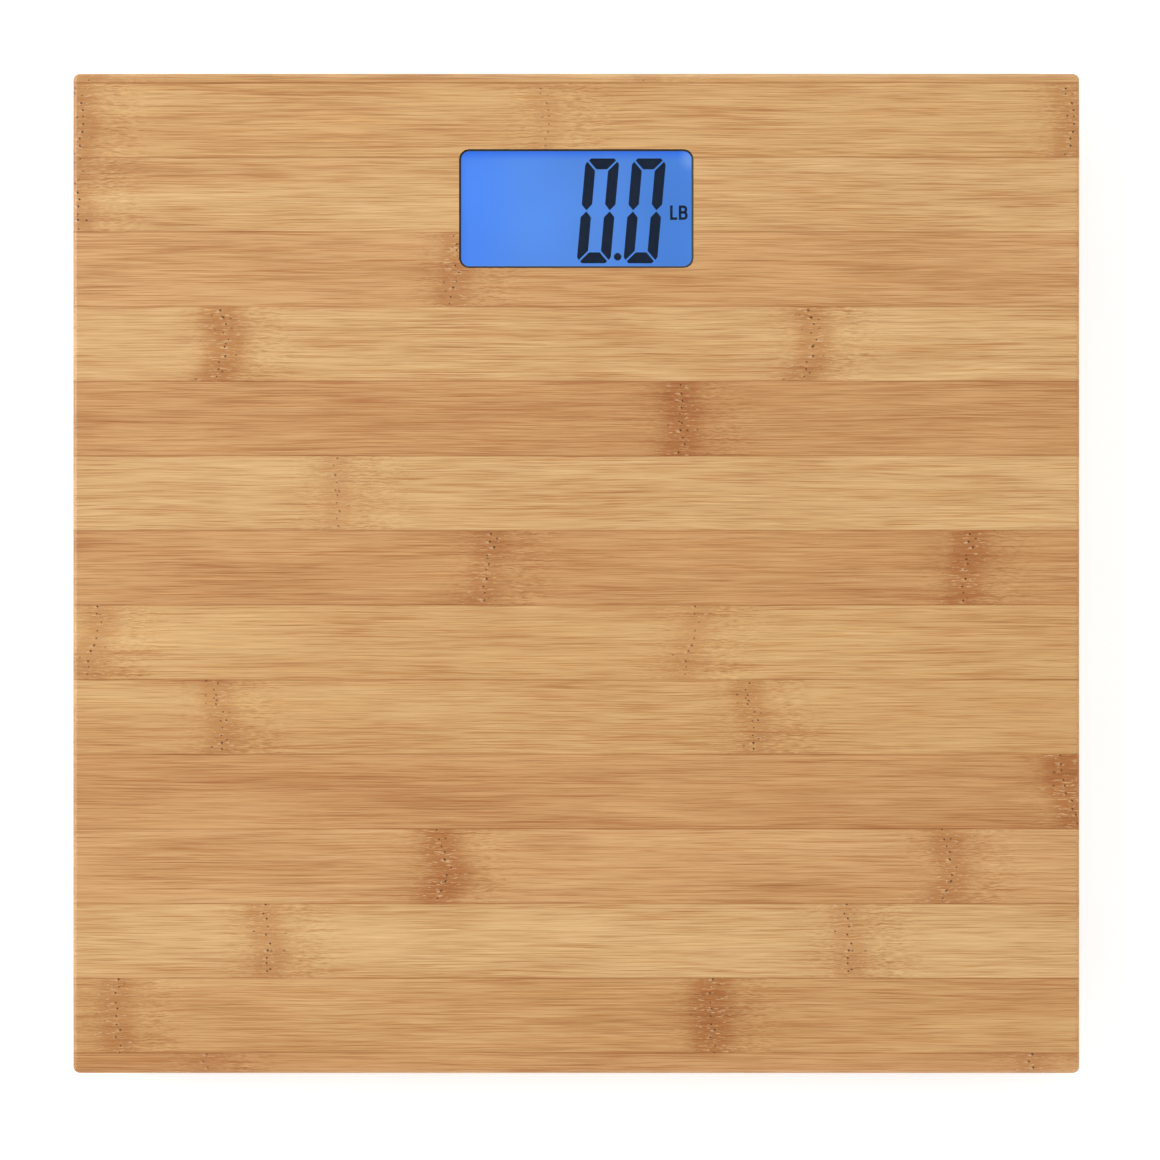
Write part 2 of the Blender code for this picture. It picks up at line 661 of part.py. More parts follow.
def make_contacts(material):
    """On each side one plate serves a single cell and the other joins two cells."""
    face = bay_inner[0] / 2 - FIT - CONTACT_THICKNESS
    single = 2 * (CELL_RADIUS - CONTACT_INSET)
    pair = cell_pitch + single
    plates = {
        "contact_negative": (-1, cell_pitches[0], single),
        "contact_link_left": (-1, (cell_pitches[1] + cell_pitches[2]) / 2, pair),
        "contact_link_right": (1, (cell_pitches[0] + cell_pitches[1]) / 2, pair),
        "contact_positive": (1, cell_pitches[2], single),
    }
    for name, (side, offset, width) in plates.items():
        outline = rounded_rectangle(width, single, 1 * MM, (offset, 0), steps=2)
        low = face if side > 0 else -face - CONTACT_THICKNESS
        part(
            name,
            across(prism(outline, low, low + CONTACT_THICKNESS)),
            material,
            location=(0, bay_y, cell_axis_z),
        )


def battery_lead_slots():
    """Outlines of the two slots by which the battery leads pass the bay's wall."""
    width = 2 * THIN_LEAD_RADIUS + 2 * FIT
    end = bay_inner[0] / 2
    return {
        "negative": rectangle(
            BAY_WALL + 2 * MM, width, (-end - BAY_WALL / 2, bay_y + cell_pitches[0])
        ),
        "positive": rectangle(
            width, BAY_WALL + 2 * MM, (end - 1.2 * MM, bay_y + bay_inner[1] / 2 + BAY_WALL / 2)
        ),
    }


def make_battery_leads(finishes):
    high = bay_ceiling - 1.1 * MM
    low = pcb_low - FIT - THIN_LEAD_RADIUS
    card_edge = frame_middle - pcb_size[1] / 2
    end = bay_inner[0] / 2
    wall = end + BAY_WALL
    y = bay_y + cell_pitches[0]
    side = -wall - 2 * MM
    negative = [
        (-end - FIT, y, high), (-wall - 0.6 * MM, y, high), (side, y + 3 * MM, high - MM),
        (side, y + 12 * MM, low + 2 * MM), (side, card_edge - 6 * MM, low),
        (side, card_edge + LEAD_ON_BOARD, low),
    ]
    x = end - 1.2 * MM
    bay_edge = bay_y + bay_outer[1] / 2
    gap_middle = bay_edge + LEAD_SPACE / 2 - 0.2 * MM
    positive = [
        (x, bay_y + bay_inner[1] / 2 - 0.4 * MM, high), (x, bay_edge + 0.4 * MM, high),
        (x, gap_middle, high - 2 * MM), (x, gap_middle, low + 1.5 * MM),
        (x, card_edge + LEAD_ON_BOARD, low),
    ]
    wire("battery_lead_negative", negative, THIN_LEAD_RADIUS, finishes["black_wire"])
    wire("battery_lead_positive", positive, THIN_LEAD_RADIUS, finishes["red_wire"])


# ---- Unit button -----------------------------------------------------------


def switch_heights():
    """Heights of the button, plunger and switch, each standing on the one before."""
    flange_low_z = cover_top + FIT
    stem_top = flange_low_z + 1 * MM + STEM_LENGTH
    plunger_low = stem_top + FIT
    body_low = plunger_low + BUTTON_TRAVEL + 2 * FIT
    board_low = body_low + SWITCH_HEIGHT + FIT
    return {
        "flange_low": flange_low_z,
        "flange_top": flange_low_z + 1 * MM,
        "stem_top": stem_top,
        "plunger_low": plunger_low,
        "body_low": body_low,
        "board_low": board_low,
    }


def make_unit_button(finishes):
    z = switch_heights()
    here = (button_x, bay_y, 0)
    wide = BUTTON_RADIUS + BUTTON_FLANGE
    face = cover_low - BUTTON_PROUD
    profile = [
        (0, z["stem_top"]), (STEM_RADIUS, z["stem_top"]), (STEM_RADIUS, z["flange_top"]),
        (wide, z["flange_top"]), (wide, z["flange_low"]), (BUTTON_RADIUS, z["flange_low"]),
        (BUTTON_RADIUS, face + 0.4 * MM), (BUTTON_RADIUS - 0.5 * MM, face), (0, face),
    ]
    part("unit_button", turned(profile, MEDIUM_STEPS), finishes["pale_plastic"], location=here)

    plunger_top = z["plunger_low"] + PLUNGER_LENGTH
    plunger = [(0, plunger_top), (STEM_RADIUS, plunger_top), (STEM_RADIUS, z["plunger_low"]),
               (0, z["plunger_low"])]
    part("switch_plunger", turned(plunger, SMALL_STEPS), finishes["black_plastic"], location=here)

    body = prism(
        rectangle(SWITCH_SIZE, SWITCH_SIZE), z["body_low"], z["body_low"] + SWITCH_HEIGHT
    )
    switch = part("switch_body", body, finishes["black_plastic"], location=here)
    bore_top = plunger_top + BUTTON_TRAVEL + FIT
    bore = [(0, bore_top), (STEM_RADIUS + FIT, bore_top), (STEM_RADIUS + FIT, z["body_low"] - MM),
            (0, z["body_low"] - MM)]
    cut(switch, helper("switch_bore", turned(bore, SMALL_STEPS), location=here))

    card = prism(rectangle(*SWITCH_BOARD_SIZE), z["board_low"], z["board_low"] + PCB_THICKNESS)
    part("switch_board", card, finishes["circuit_board"], location=here)


# ---- Feet ------------------------------------------------------------------


def foot_heights():
    roof_top = board_bottom + HOUSING_DEPTH
    roof_low = roof_top - HOUSING_ROOF
    plate_top = roof_low - RAIL_HEIGHT - FIT
    return {
        "roof_top": roof_top,
        "roof_low": roof_low,
        "plate_top": plate_top,
        "plate_low": plate_top - CELL_PLATE_THICKNESS,
        "flange_low": board_bottom - FIT - FLANGE_THICKNESS,
    }


def make_foot(name, foot, finishes):
    """One foot, in the foot's own frame: +X points along its lead."""
    make_housing(name, foot, finishes["grey_plastic"])
    make_load_cell(name, foot, finishes["steel"])
    make_foot_cap(name, foot, finishes)


def make_housing(name, foot, material):
    z = foot_heights()
    flange_top, low = board_bottom - FIT, z["flange_low"]
    rim = HOUSING_RADIUS + HOUSING_FLANGE
    profile = [
        (0, z["roof_top"]), (HOUSING_RADIUS, z["roof_top"]), (HOUSING_RADIUS, flange_top),
        (rim, flange_top), (rim, low + 0.5 * MM), (rim - 0.5 * MM, low), (lip_radius, low),
        (lip_radius, low + LIP_THICKNESS), (housing_hollow, low + LIP_THICKNESS),
        (housing_hollow, z["roof_low"]), (0, z["roof_low"]),
    ]
    housing = part(f"foot_housing_{name}", turned(profile), material, parent=foot)
    for side in (-1, 1):
        ear_low, ear_top = low + FILM, flange_top - FILM
        ear = [(0, ear_top), (EAR_RADIUS, ear_top), (EAR_RADIUS, ear_low), (0, ear_low)]
        here = {"parent": foot, "location": (0, side * ear_distance, 0)}
        add(housing, helper(f"ear_{name}_{side}", turned(ear, MEDIUM_STEPS), **here))
    for side in (-1, 1):
        middle = (0, side * (cell_plate / 2 - RAIL_WIDTH))
        rail = rectangle(cell_plate * 0.7, RAIL_WIDTH, middle)
        shape = prism(rail, z["roof_low"] - RAIL_HEIGHT, z["roof_low"] + HOUSING_ROOF / 2)
        add(housing, helper(f"rail_{name}_{side}", shape, parent=foot))
    exit_middle = (HOUSING_RADIUS - HOUSING_WALL / 2, 0)
    notch = rectangle(3 * HOUSING_WALL, GROOVE_WIDTH, exit_middle)
    shape = prism(notch, board_bottom, board_bottom + GROOVE_DEPTH)
    cut(housing, helper(f"lead_notch_{name}", shape, parent=foot))
    for side in (-1, 1):
        here = (0, side * ear_distance)
        cut(housing, screw_hole(f"ear_hole_{name}_{side}", here, foot))


def make_load_cell(name, foot, material):
    """A spring-steel plate with a U-shaped slot that frees its middle tongue."""
    z = foot_heights()
    square = rounded_rectangle(cell_plate, cell_plate, CELL_PLATE_CORNER, steps=3)
    plate = part(f"load_cell_{name}", prism(square, z["plate_low"], z["plate_top"]), material,
                 parent=foot)
    half, outer = TONGUE_WIDTH / 2, TONGUE_WIDTH / 2 + TONGUE_SLOT
    slot = [(-outer, -outer), (outer + TONGUE_SLOT, -outer), (outer + TONGUE_SLOT, outer),
            (-outer, outer), (-outer, half), (outer, half), (outer, -half), (-outer, -half)]
    shape = prism(slot, z["plate_low"] - MM, z["plate_top"] + MM)
    cut(plate, helper(f"tongue_slot_{name}", shape, parent=foot))


def make_foot_cap(name, foot, finishes):
    z = foot_heights()
    low = PAD_PROUD
    floor_top = low + FOOT_FLOOR
    skirt_top = z["flange_low"] - FOOT_TRAVEL - SKIRT_GAP
    lip_top = z["flange_low"] + LIP_THICKNESS
    wall_in = foot_radius - FOOT_WALL
    boss_top = z["plate_low"] - FIT
    seat_radius, seat_top = pad_radius + FIT, low + PAD_SEAT
    profile = [
        (0, boss_top), (BOSS_RADIUS, boss_top), (BOSS_RADIUS, floor_top), (wall_in, floor_top),
        (wall_in, lip_top), (foot_radius, lip_top), (foot_radius, skirt_top + 0.6 * MM),
        (skirt_radius - 0.8 * MM, skirt_top), (skirt_radius, skirt_top - 0.8 * MM),
        (skirt_radius, low + 0.6 * MM), (skirt_radius - 0.6 * MM, low), (seat_radius, low),
        (seat_radius, seat_top), (0, seat_top),
    ]
    cap = part(f"foot_cap_{name}", turned(profile), finishes["grey_plastic"], parent=foot)
    hook_low = lip_top + FIT
    hook_top = z["plate_low"] - FIT - FOOT_TRAVEL
    inside, outside = wall_in + 0.2 * MM, foot_radius - 0.2 * MM
    reach = housing_hollow - 2 * FIT
    hook = [(inside, lip_top - MM), (outside, lip_top - MM), (outside, hook_low),
            (reach, hook_low), (reach - 0.6 * MM, hook_top), (inside, hook_top)]
    for index in range(HOOKS):
        turn = math.pi / HOOKS + index * math.tau / HOOKS
        shape = turned_part(hook, HOOK_ANGLE)
        add(cap, helper(f"hook_{name}_{index}", shape, parent=foot, rotation=(0, 0, turn)))

    pad_top = seat_top - FIT
    pad = [(0, pad_top), (pad_radius, pad_top), (pad_radius, 0.5 * MM), (pad_radius - 0.5 * MM, 0),
           (0, 0)]
    part(f"foot_pad_{name}", turned(pad), finishes["rubber"], parent=foot)


def make_load_cell_lead(name, material):
    """The lead runs from the load cell along its groove to the circuit board."""
    middle, entry = foot_layout(name)
    heading = (entry - middle).normalized()
    in_groove = board_bottom + GROOVE_DEPTH / 2 + 0.2 * MM
    start = middle + heading * (cell_plate / 2 + FIT)
    mouth = middle + heading * (HOUSING_RADIUS + 4 * MM)
    bend = entry - heading * LEAD_BEND
    stops = [start, mouth, mouth.lerp(bend, 1 / 3), mouth.lerp(bend, 2 / 3), bend, entry]
    points = [(*stop, in_groove) for stop in stops]
    under = pcb_low - FIT - LEAD_RADIUS
    side = math.copysign(1, entry.x)
    if entry.y > pocket_low_y + MM:
        board_edge = side * pcb_size[0] / 2
        points += [(board_edge + side * 3 * MM, entry.y, under), (board_edge - side * 3 * MM,
                                                                   entry.y, under)]
    else:
        card_edge = frame_middle - pcb_size[1] / 2
        x = entry.x
        points += [(x, entry.y + 8 * MM, in_groove), (x, card_edge - 20 * MM, under),
                   (x, card_edge - 5 * MM, under), (x, card_edge + LEAD_ON_BOARD, under)]
    wire(f"load_cell_lead_{name}", points, LEAD_RADIUS, material)


# ---- Screws ----------------------------------------------------------------


def make_screw(name, place_xy, material, parent=None):
    """A pan-head wood screw, head down, with a cross recess."""
    seat = cover_low - FILM
    tip = cover_low + SCREW_LENGTH
    head = seat - SCREW_HEAD_HEIGHT
    profile = [
        (0, tip), (SCREW_SHANK_RADIUS, tip - 2 * MM), (SCREW_SHANK_RADIUS, seat),
        (SCREW_HEAD_RADIUS, seat), (SCREW_HEAD_RADIUS, seat - 0.5 * MM),
        (SCREW_HEAD_RADIUS * 0.7, head + 0.1 * MM), (0, head),
    ]
    screw = part(name, turned(profile, SMALL_STEPS), material, parent=parent, location=(*place_xy, 0))
    long, wide = SCREW_HEAD_RADIUS * 0.6, CROSS_WIDTH / 2
    cross = [(long, -wide), (long, wide), (wide, wide), (wide, long), (-wide, long),
             (-wide, wide), (-long, wide), (-long, -wide), (-wide, -wide), (-wide, -long),
             (wide, -long), (wide, -wide)]
    recess = prism(cross, head - MM, head + CROSS_DEPTH)
    where = {"parent": parent, "location": (*place_xy, 0)}
    cut(screw, helper(f"cross_{name}", recess, **where))


# ---- The whole scale -------------------------------------------------------


def make_finishes():
    return {
        "bamboo": finish("bamboo", (0.62, 0.36, 0.15), 0.38),
        "acrylic": finish("acrylic", (0.9, 0.95, 1.0), 0.05, alpha=0.35),
        "foam": finish("foam", (0.03, 0.03, 0.03), 0.9),
        "glass": finish("glass", (0.1, 0.28, 0.8), 0.1),
        "backlight": finish("backlight", (0.12, 0.3, 0.9), 0.4),
        "lamp": finish("lamp", (0.8, 0.8, 0.75), 0.5),
        "silicone": finish("silicone", (0.3, 0.3, 0.32), 0.7),
        "black_plastic": finish("black_plastic", (0.02, 0.02, 0.02), 0.5),
        "grey_plastic": finish("grey_plastic", (0.045, 0.047, 0.05), 0.55),
        "pale_plastic": finish("pale_plastic", (0.35, 0.36, 0.37), 0.5),
        "circuit_board": finish("circuit_board", (0.02, 0.16, 0.06), 0.4),
        "battery": finish("battery", (0.08, 0.09, 0.1), 0.35, 0.3),
        "steel": finish("steel", (0.62, 0.63, 0.65), 0.3, 1.0),
        "rubber": finish("rubber", (0.025, 0.025, 0.027), 0.8),
        "white_wire": finish("white_wire", (0.75, 0.75, 0.72), 0.5),
        "red_wire": finish("red_wire", (0.5, 0.02, 0.02), 0.5),
        "black_wire": finish("black_wire", (0.02, 0.02, 0.02), 0.5),
    }


def make_foot_frames():
    """An empty under the middle of each foot, turned to point along the foot's lead."""
    frames = {}
    for name in FEET:
        middle, entry = foot_layout(name)
        heading = entry - middle
        turn = math.atan2(heading.y, heading.x)
        empty = bpy.data.objects.new(f"frame_{name}", None)
        frames[name] = place(empty, location=(*middle, 0), rotation=(0, 0, turn))
    return frames


def main():
    clear_scene()
    finishes = make_finishes()
    feet = make_foot_frames()
    make_board(finishes["bamboo"], feet)
    make_display(finishes)
    make_circuit(finishes)
    make_cover(finishes)
    make_battery_door(finishes)
    make_batteries(finishes)
    make_battery_leads(finishes)
    make_unit_button(finishes)
    for name, foot in feet.items():
        make_foot(name, foot, finishes)
        make_load_cell_lead(name, finishes["white_wire"])
        for index, side in enumerate((-1, 1)):
            where = (0, side * ear_distance)
            make_screw(f"foot_screw_{name}_{index + 1}", where, finishes["steel"], foot)
    for index, place_xy in enumerate(cover_screw_places()):
        make_screw(f"cover_screw_{index + 1}", place_xy, finishes["steel"])


main()
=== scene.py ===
import bmesh
import bpy
import numpy as np
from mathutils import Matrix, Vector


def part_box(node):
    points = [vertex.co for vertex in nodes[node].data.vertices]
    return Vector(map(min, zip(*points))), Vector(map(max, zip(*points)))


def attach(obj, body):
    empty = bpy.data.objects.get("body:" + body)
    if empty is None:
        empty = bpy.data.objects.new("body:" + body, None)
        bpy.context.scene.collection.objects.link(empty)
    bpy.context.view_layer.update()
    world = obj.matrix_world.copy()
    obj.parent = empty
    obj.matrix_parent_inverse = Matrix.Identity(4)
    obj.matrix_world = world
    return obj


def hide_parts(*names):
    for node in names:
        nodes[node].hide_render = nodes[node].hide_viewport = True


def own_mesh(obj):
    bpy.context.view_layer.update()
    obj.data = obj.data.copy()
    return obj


# Bamboo bathroom scale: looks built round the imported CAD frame.
# Metres, +Z up, +Y towards the display end. Sizes in the dictionaries are millimetres.

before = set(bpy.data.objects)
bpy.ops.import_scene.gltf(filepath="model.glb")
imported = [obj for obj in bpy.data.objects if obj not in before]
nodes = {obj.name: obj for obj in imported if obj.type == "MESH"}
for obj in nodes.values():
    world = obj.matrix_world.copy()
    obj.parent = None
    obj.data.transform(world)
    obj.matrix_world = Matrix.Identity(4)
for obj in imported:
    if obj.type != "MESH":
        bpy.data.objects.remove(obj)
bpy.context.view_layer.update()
mm = 0.001
print("frame loaded:", len(nodes), "nodes")


def toLinear(hexCode):
    # sRGB hex to linear: c/12.92 in the toe, ((c+0.055)/1.055)^2.4 above it
    parts = [int(hexCode[i:i + 2], 16) / 255 for i in (1, 3, 5)]
    return [c / 12.92 if c <= 0.04045 else ((c + 0.055) / 1.055) ** 2.4 for c in parts] + [1.0]


def addNode(tree, kind, *inputs, out=0, stops=None, **settings):
    # adds one shader node, whose operation may follow its kind, sets its properties and colour
    # stops, fills or links its inputs, and gives one output, or all of them if out is None
    kind, *operations = kind.split()
    node = tree.nodes.new("ShaderNode" + kind)
    for operation in operations:
        node.operation = operation
    for name, value in settings.items():
        setattr(node, name, value)
    if stops:
        ramp = node.color_ramp
        ramp.interpolation = stops["blend"]
        ramp.elements.remove(ramp.elements[1])
        for place, colour in stops["at"]:
            spot = ramp.elements[0] if place == 0 else ramp.elements.new(place)
            spot.color = toLinear(colour) if isinstance(colour, str) else (*colour, 1.0)
    named = inputs and isinstance(inputs[0], dict)
    for name, value in inputs[0].items() if named else enumerate(inputs):
        if isinstance(value, bpy.types.NodeSocket):
            tree.links.new(value, node.inputs[name])
        else:
            node.inputs[name].default_value = toLinear(value) if isinstance(value, str) else value
    return node.outputs if out is None else node.outputs[out]


# settings that come up often: a Mix that multiplies a colour by a tint, a Mix of two colours,
# and a MapRange with soft ends
tinting = {"out": 2, "data_type": "RGBA", "blend_type": "MULTIPLY"}
blending = {"out": 2, "data_type": "RGBA"}
softly = {"interpolation_type": "SMOOTHSTEP"}


def newMaterial(name, **values):
    # a Principled material with uniform values on the shader's own sockets
    material = bpy.data.materials.new(name)
    material.use_nodes = True
    shader = material.node_tree.nodes["Principled BSDF"]
    for key, value in values.items():
        socket = shader.inputs[key.replace("_", " ")]
        socket.default_value = toLinear(value) if isinstance(value, str) else value
    return material, material.node_tree, shader


def dress(material, name):
    # gives a CAD node its finish
    nodes[name].data.materials.clear()
    nodes[name].data.materials.append(material)


def newPiece(name, points, faces, material, smooth=True):
    # points (n, 3) in millimetres to a mesh object at the origin
    mesh = bpy.data.meshes.new(name)
    mesh.from_pydata((np.asarray(points) * mm).tolist(), [], faces)
    mesh.validate()
    mesh.polygons.foreach_set("use_smooth", [smooth] * len(mesh.polygons))
    mesh.materials.append(material)
    piece = bpy.data.objects.new(name, mesh)
    bpy.context.scene.collection.objects.link(piece)
    return piece


def gridFaces(rows, columns, wrap):
    # quads between neighbours of a rows x columns grid, the last column joined to the first if wrap
    r, c = np.meshgrid(np.arange(rows - 1), np.arange(columns if wrap else columns - 1),
                       indexing="ij")
    d = (c + 1) % columns
    quads = np.stack([r * columns + c, r * columns + d, (r + 1) * columns + d,
                      (r + 1) * columns + c], -1)
    return quads.reshape(-1, 4).tolist()


camera = {"height": 1000.8, "x": 1.12, "y": -2.0, "lens": 100}
lens = bpy.data.cameras.new("camera")
lens.lens = camera["lens"]
lens.sensor_width = 36
lens.clip_start = 0.05
lens.clip_end = 20
eye = bpy.data.objects.new("camera", lens)
eye.location = (camera["x"] * mm, camera["y"] * mm, camera["height"] * mm)
bpy.context.scene.collection.objects.link(eye)
bpy.context.scene.camera = eye
bpy.context.scene.view_settings.view_transform = "Standard"

floorMaterial, tree, shader = newMaterial(
    "paintedBoardFloor", Base_Color="#f6f6f6", Roughness=0.9, Specular_IOR_Level=0.1,
    Emission_Color="#ffffff")
place = addNode(tree, "TexCoord", out="Object")
away = addNode(tree, "VectorMath LENGTH", place, out=1)
# the floor is lit more the further it lies, so it meets the room without a line
glow = addNode(tree, "MapRange", away, 0.35, 1.8, 0.42, 1, **softly)
tree.links.new(glow, shader.inputs["Emission Strength"])
reach = 6000
floor = newPiece("floor", [(-reach, -reach, 0), (reach, -reach, 0), (reach, reach, 0),
                           (-reach, reach, 0)], [(0, 1, 2, 3)], floorMaterial, smooth=False)

world = bpy.data.worlds.new("softRoom")
bpy.context.scene.world = world
world.use_nodes = True
tree = world.node_tree
skyWay = addNode(tree, "TexCoord", out="Generated")
skyAxes = addNode(tree, "SeparateXYZ", skyWay, out=None)
sky = addNode(tree, "ValToRGB", skyAxes[2], stops={"blend": "EASE", "at": [
    (0, (1, 1, 1)), (0.24, (0.95, 0.96, 0.97)), (0.5, (0.5, 0.5, 0.51)),
    (0.95, (0.12, 0.12, 0.12))]})
tree.links.new(sky, tree.nodes["Background"].inputs["Color"])

# each light: where it hangs, the size of its face and its power in watts
lights = {
    "keyFromLeft": ((-1.6, 0.3, 1.4), 1.2, 25),
    "fillFromDisplayEnd": ((0.3, 1.6, 1.5), 1.2, 13),
    "fillFromFront": ((0.6, -1.6, 1.3), 1.2, 11),
}
for name, (place, size, power) in lights.items():
    lamp = bpy.data.lights.new(name, "AREA")
    lamp.size = size
    lamp.energy = power
    holder = bpy.data.objects.new(name, lamp)
    holder.location = place
    aim = -holder.location
    holder.rotation_euler = aim.to_track_quat("-Z", "Y").to_euler()
    bpy.context.scene.collection.objects.link(holder)
print("camera, floor and light")


board = {
    # sizes in millimetres; each ply is drawn a little shifted and from its own random place
    "top": 25.02, "farJoint": 148.6, "strip": 22.6, "ply": 5.02, "plyShift": 8.3, "plyTurn": 6,
    "seedStep": 17.3,
    "tones": {"pale": "#deb47d", "light": "#daae75", "mid": "#d7a872", "dull": "#d5a76f",
              "dark": "#d19f69"},
    # strips from the display end: tone, then the places of up to three knuckles along the
    # strip and how strongly each shows
    "strips": [
        ("dull", {-149: 0.5, 19: 0.4}), ("light", {-151: 0.7, -10: 0.3, 149: 0.6}),
        ("pale", {-151: 0.6}), ("mid", {-36: 0.6}), ("pale", {-109: 1, 69: 0.7}),
        ("dark", {31: 0.9}), ("pale", {-72: 0.35}), ("dark", {-27: 0.6, 118: 0.8}),
        ("light", {-149: 0.5, 32: 0.4}), ("light", {-106: 0.6, 55: 0.6}), ("dark", {147: 0.9}),
        ("mid", {-42: 1, 111: 0.7}), ("pale", {-95: 0.6, 81: 0.5}),
        ("dull", {-139: 0.6, 41: 1}), ("dark", {-114: 0.3, 136: 0.5}),
    ],
    "knuckleSpan": 200, "offBoard": 190,
    # length and width of each kind of streak
    "streaks": {"fineStreak": (20, 0.28), "midStreak": (42, 0.46), "wideStreak": (90, 2),
                "cloud": (70, 12), "warmth": (110, 14), "redStreak": (34, 0.55),
                "shortFibre": (2.8, 0.42), "dash": (7, 0.3), "hairline": (60, 0.62)},
    # how far each noise strays from its middle before it counts in full
    "spreads": {"fineStreak": 0.18, "midStreak": 0.14, "wideStreak": 0.17, "cloud": 0.2,
                "shortFibre": 0.15},
    # how much each kind of streak counts: fine ones lose some beside a knuckle
    "fineShare": (0.62, 0.3), "shortShare": 0.55,
    "shares": {"midStreak": 0.34, "wideStreak": 0.11, "cloud": 0.29},
    # how the knuckle line wanders and frays: noise scale, then reach in millimetres
    "wander": (0.035, 4), "fray": (1.6, 2.6),
    # half width of a knuckle's dark core, and of the whole band for a faint and a strong one
    "core": 2.6, "bandReach": (5.5, 9.5),
    # beside a knuckle, off to its growing side, the fibres crumple from here to there
    "crumpleSide": 4, "crumpleReach": (5, 24),
    "bend": ((0.018, 0.05, 1), 0.7), "kink": ((0.3, 0.4, 1), 0.55),
    "poreStep": 2.25, "poreRadius": 0.34, "poreSlip": 0.9, "strayPore": (3.6, 2.6),
    "glueWide": 0.16, "glueShows": (0.95, 0.45), "plyLine": 0.965,
    # darker things multiply the wood's colour by a tint, lighter ones replace it
    "lineTint": (0.8, 0.69, 0.56, 1), "hairTint": (0.82, 0.69, 0.54, 1),
    "warmTint": (0.86, 0.76, 0.66, 1), "dashTint": (0.74, 0.62, 0.5, 1),
    "haloTint": (0.87, 0.79, 0.72, 1), "bandTint": (0.75, 0.56, 0.41, 1),
    "glueTint": (0.68, 0.52, 0.38, 1), "fibreTint": (0.86, 0.82, 0.78, 1),
    "bundleTint": (0.42, 0.3, 0.22, 1),
    "red": "#b5703f", "lifted": "#e4b885", "fleck": "#e6bd8c", "pore": "#472000",
}

# plain-pressed bamboo, three plies, planed and satin lacquered: long fibre streaks, brown
# knuckles with a column of open pores, thin glue lines, and a soft even sheen
bamboo, tree, shader = newMaterial("lacqueredBamboo", Roughness=0.42, Coat_Weight=0.12,
                                   Coat_Roughness=0.3)
place = addNode(tree, "TexCoord", out=None)
raw = addNode(tree, "VectorMath MULTIPLY", place["Object"], (1000, 1000, 1000))
rawAxes = addNode(tree, "SeparateXYZ", raw, out=None)
depth = addNode(tree, "Math SUBTRACT", board["top"], rawAxes[2])
plyShare = addNode(tree, "Math DIVIDE", depth, board["ply"])
ply = addNode(tree, "Math FLOOR", plyShare)
isMiddle = addNode(tree, "Math COMPARE", ply, 1, 0.4)
turned = addNode(tree, "CombineXYZ", rawAxes[1], rawAxes[0], rawAxes[2])
laid = addNode(tree, "Mix", {0: isMiddle, 4: raw, 5: turned}, data_type="VECTOR", out=1)
axes = addNode(tree, "SeparateXYZ", laid, out=None)
along, across, up = axes[0], axes[1], axes[2]

# strip number from the distance to the first glue line, moved a little on each lower ply
fromJoint = addNode(tree, "Math SUBTRACT", board["farJoint"], across)
plyShift = addNode(tree, "Math MULTIPLY", ply, board["plyShift"])
shifted = addNode(tree, "Math ADD", fromJoint, plyShift)
stripPlace = addNode(tree, "Math DIVIDE", shifted, board["strip"])
onePast = addNode(tree, "Math ADD", stripPlace, 1)
strip = addNode(tree, "Math FLOOR", onePast)
inStrip = addNode(tree, "Math FRACT", onePast)
plyTurn = addNode(tree, "Math MULTIPLY", ply, board["plyTurn"])
stripTurn = addNode(tree, "Math ADD", strip, plyTurn)
count = len(board["strips"])
stripOf = addNode(tree, "Math FLOORED_MODULO", stripTurn, count)
halfOn = addNode(tree, "Math ADD", stripOf, 0.5)
rampPlace = addNode(tree, "Math DIVIDE", halfOn, count)
seed = addNode(tree, "Math MULTIPLY", stripTurn, board["seedStep"])

tones, places, strengths = [], [], []
for index, (tone, knuckles) in enumerate(board["strips"]):
    start = index / count
    missing = 3 - len(knuckles)
    spots = [*knuckles] + [board["offBoard"]] * missing
    tones.append((start, board["tones"][tone]))
    places.append((start, [(spot / board["knuckleSpan"] + 1) / 2 for spot in spots]))
    strengths.append((start, [*knuckles.values()] + [0.0] * missing))
tone = addNode(tree, "ValToRGB", rampPlace, stops={"blend": "CONSTANT", "at": tones})
spot = addNode(tree, "ValToRGB", rampPlace, stops={"blend": "CONSTANT", "at": places})
shows = addNode(tree, "ValToRGB", rampPlace, stops={"blend": "CONSTANT", "at": strengths})
spotParts = addNode(tree, "SeparateColor", spot, out=None)
showParts = addNode(tree, "SeparateColor", shows, out=None)

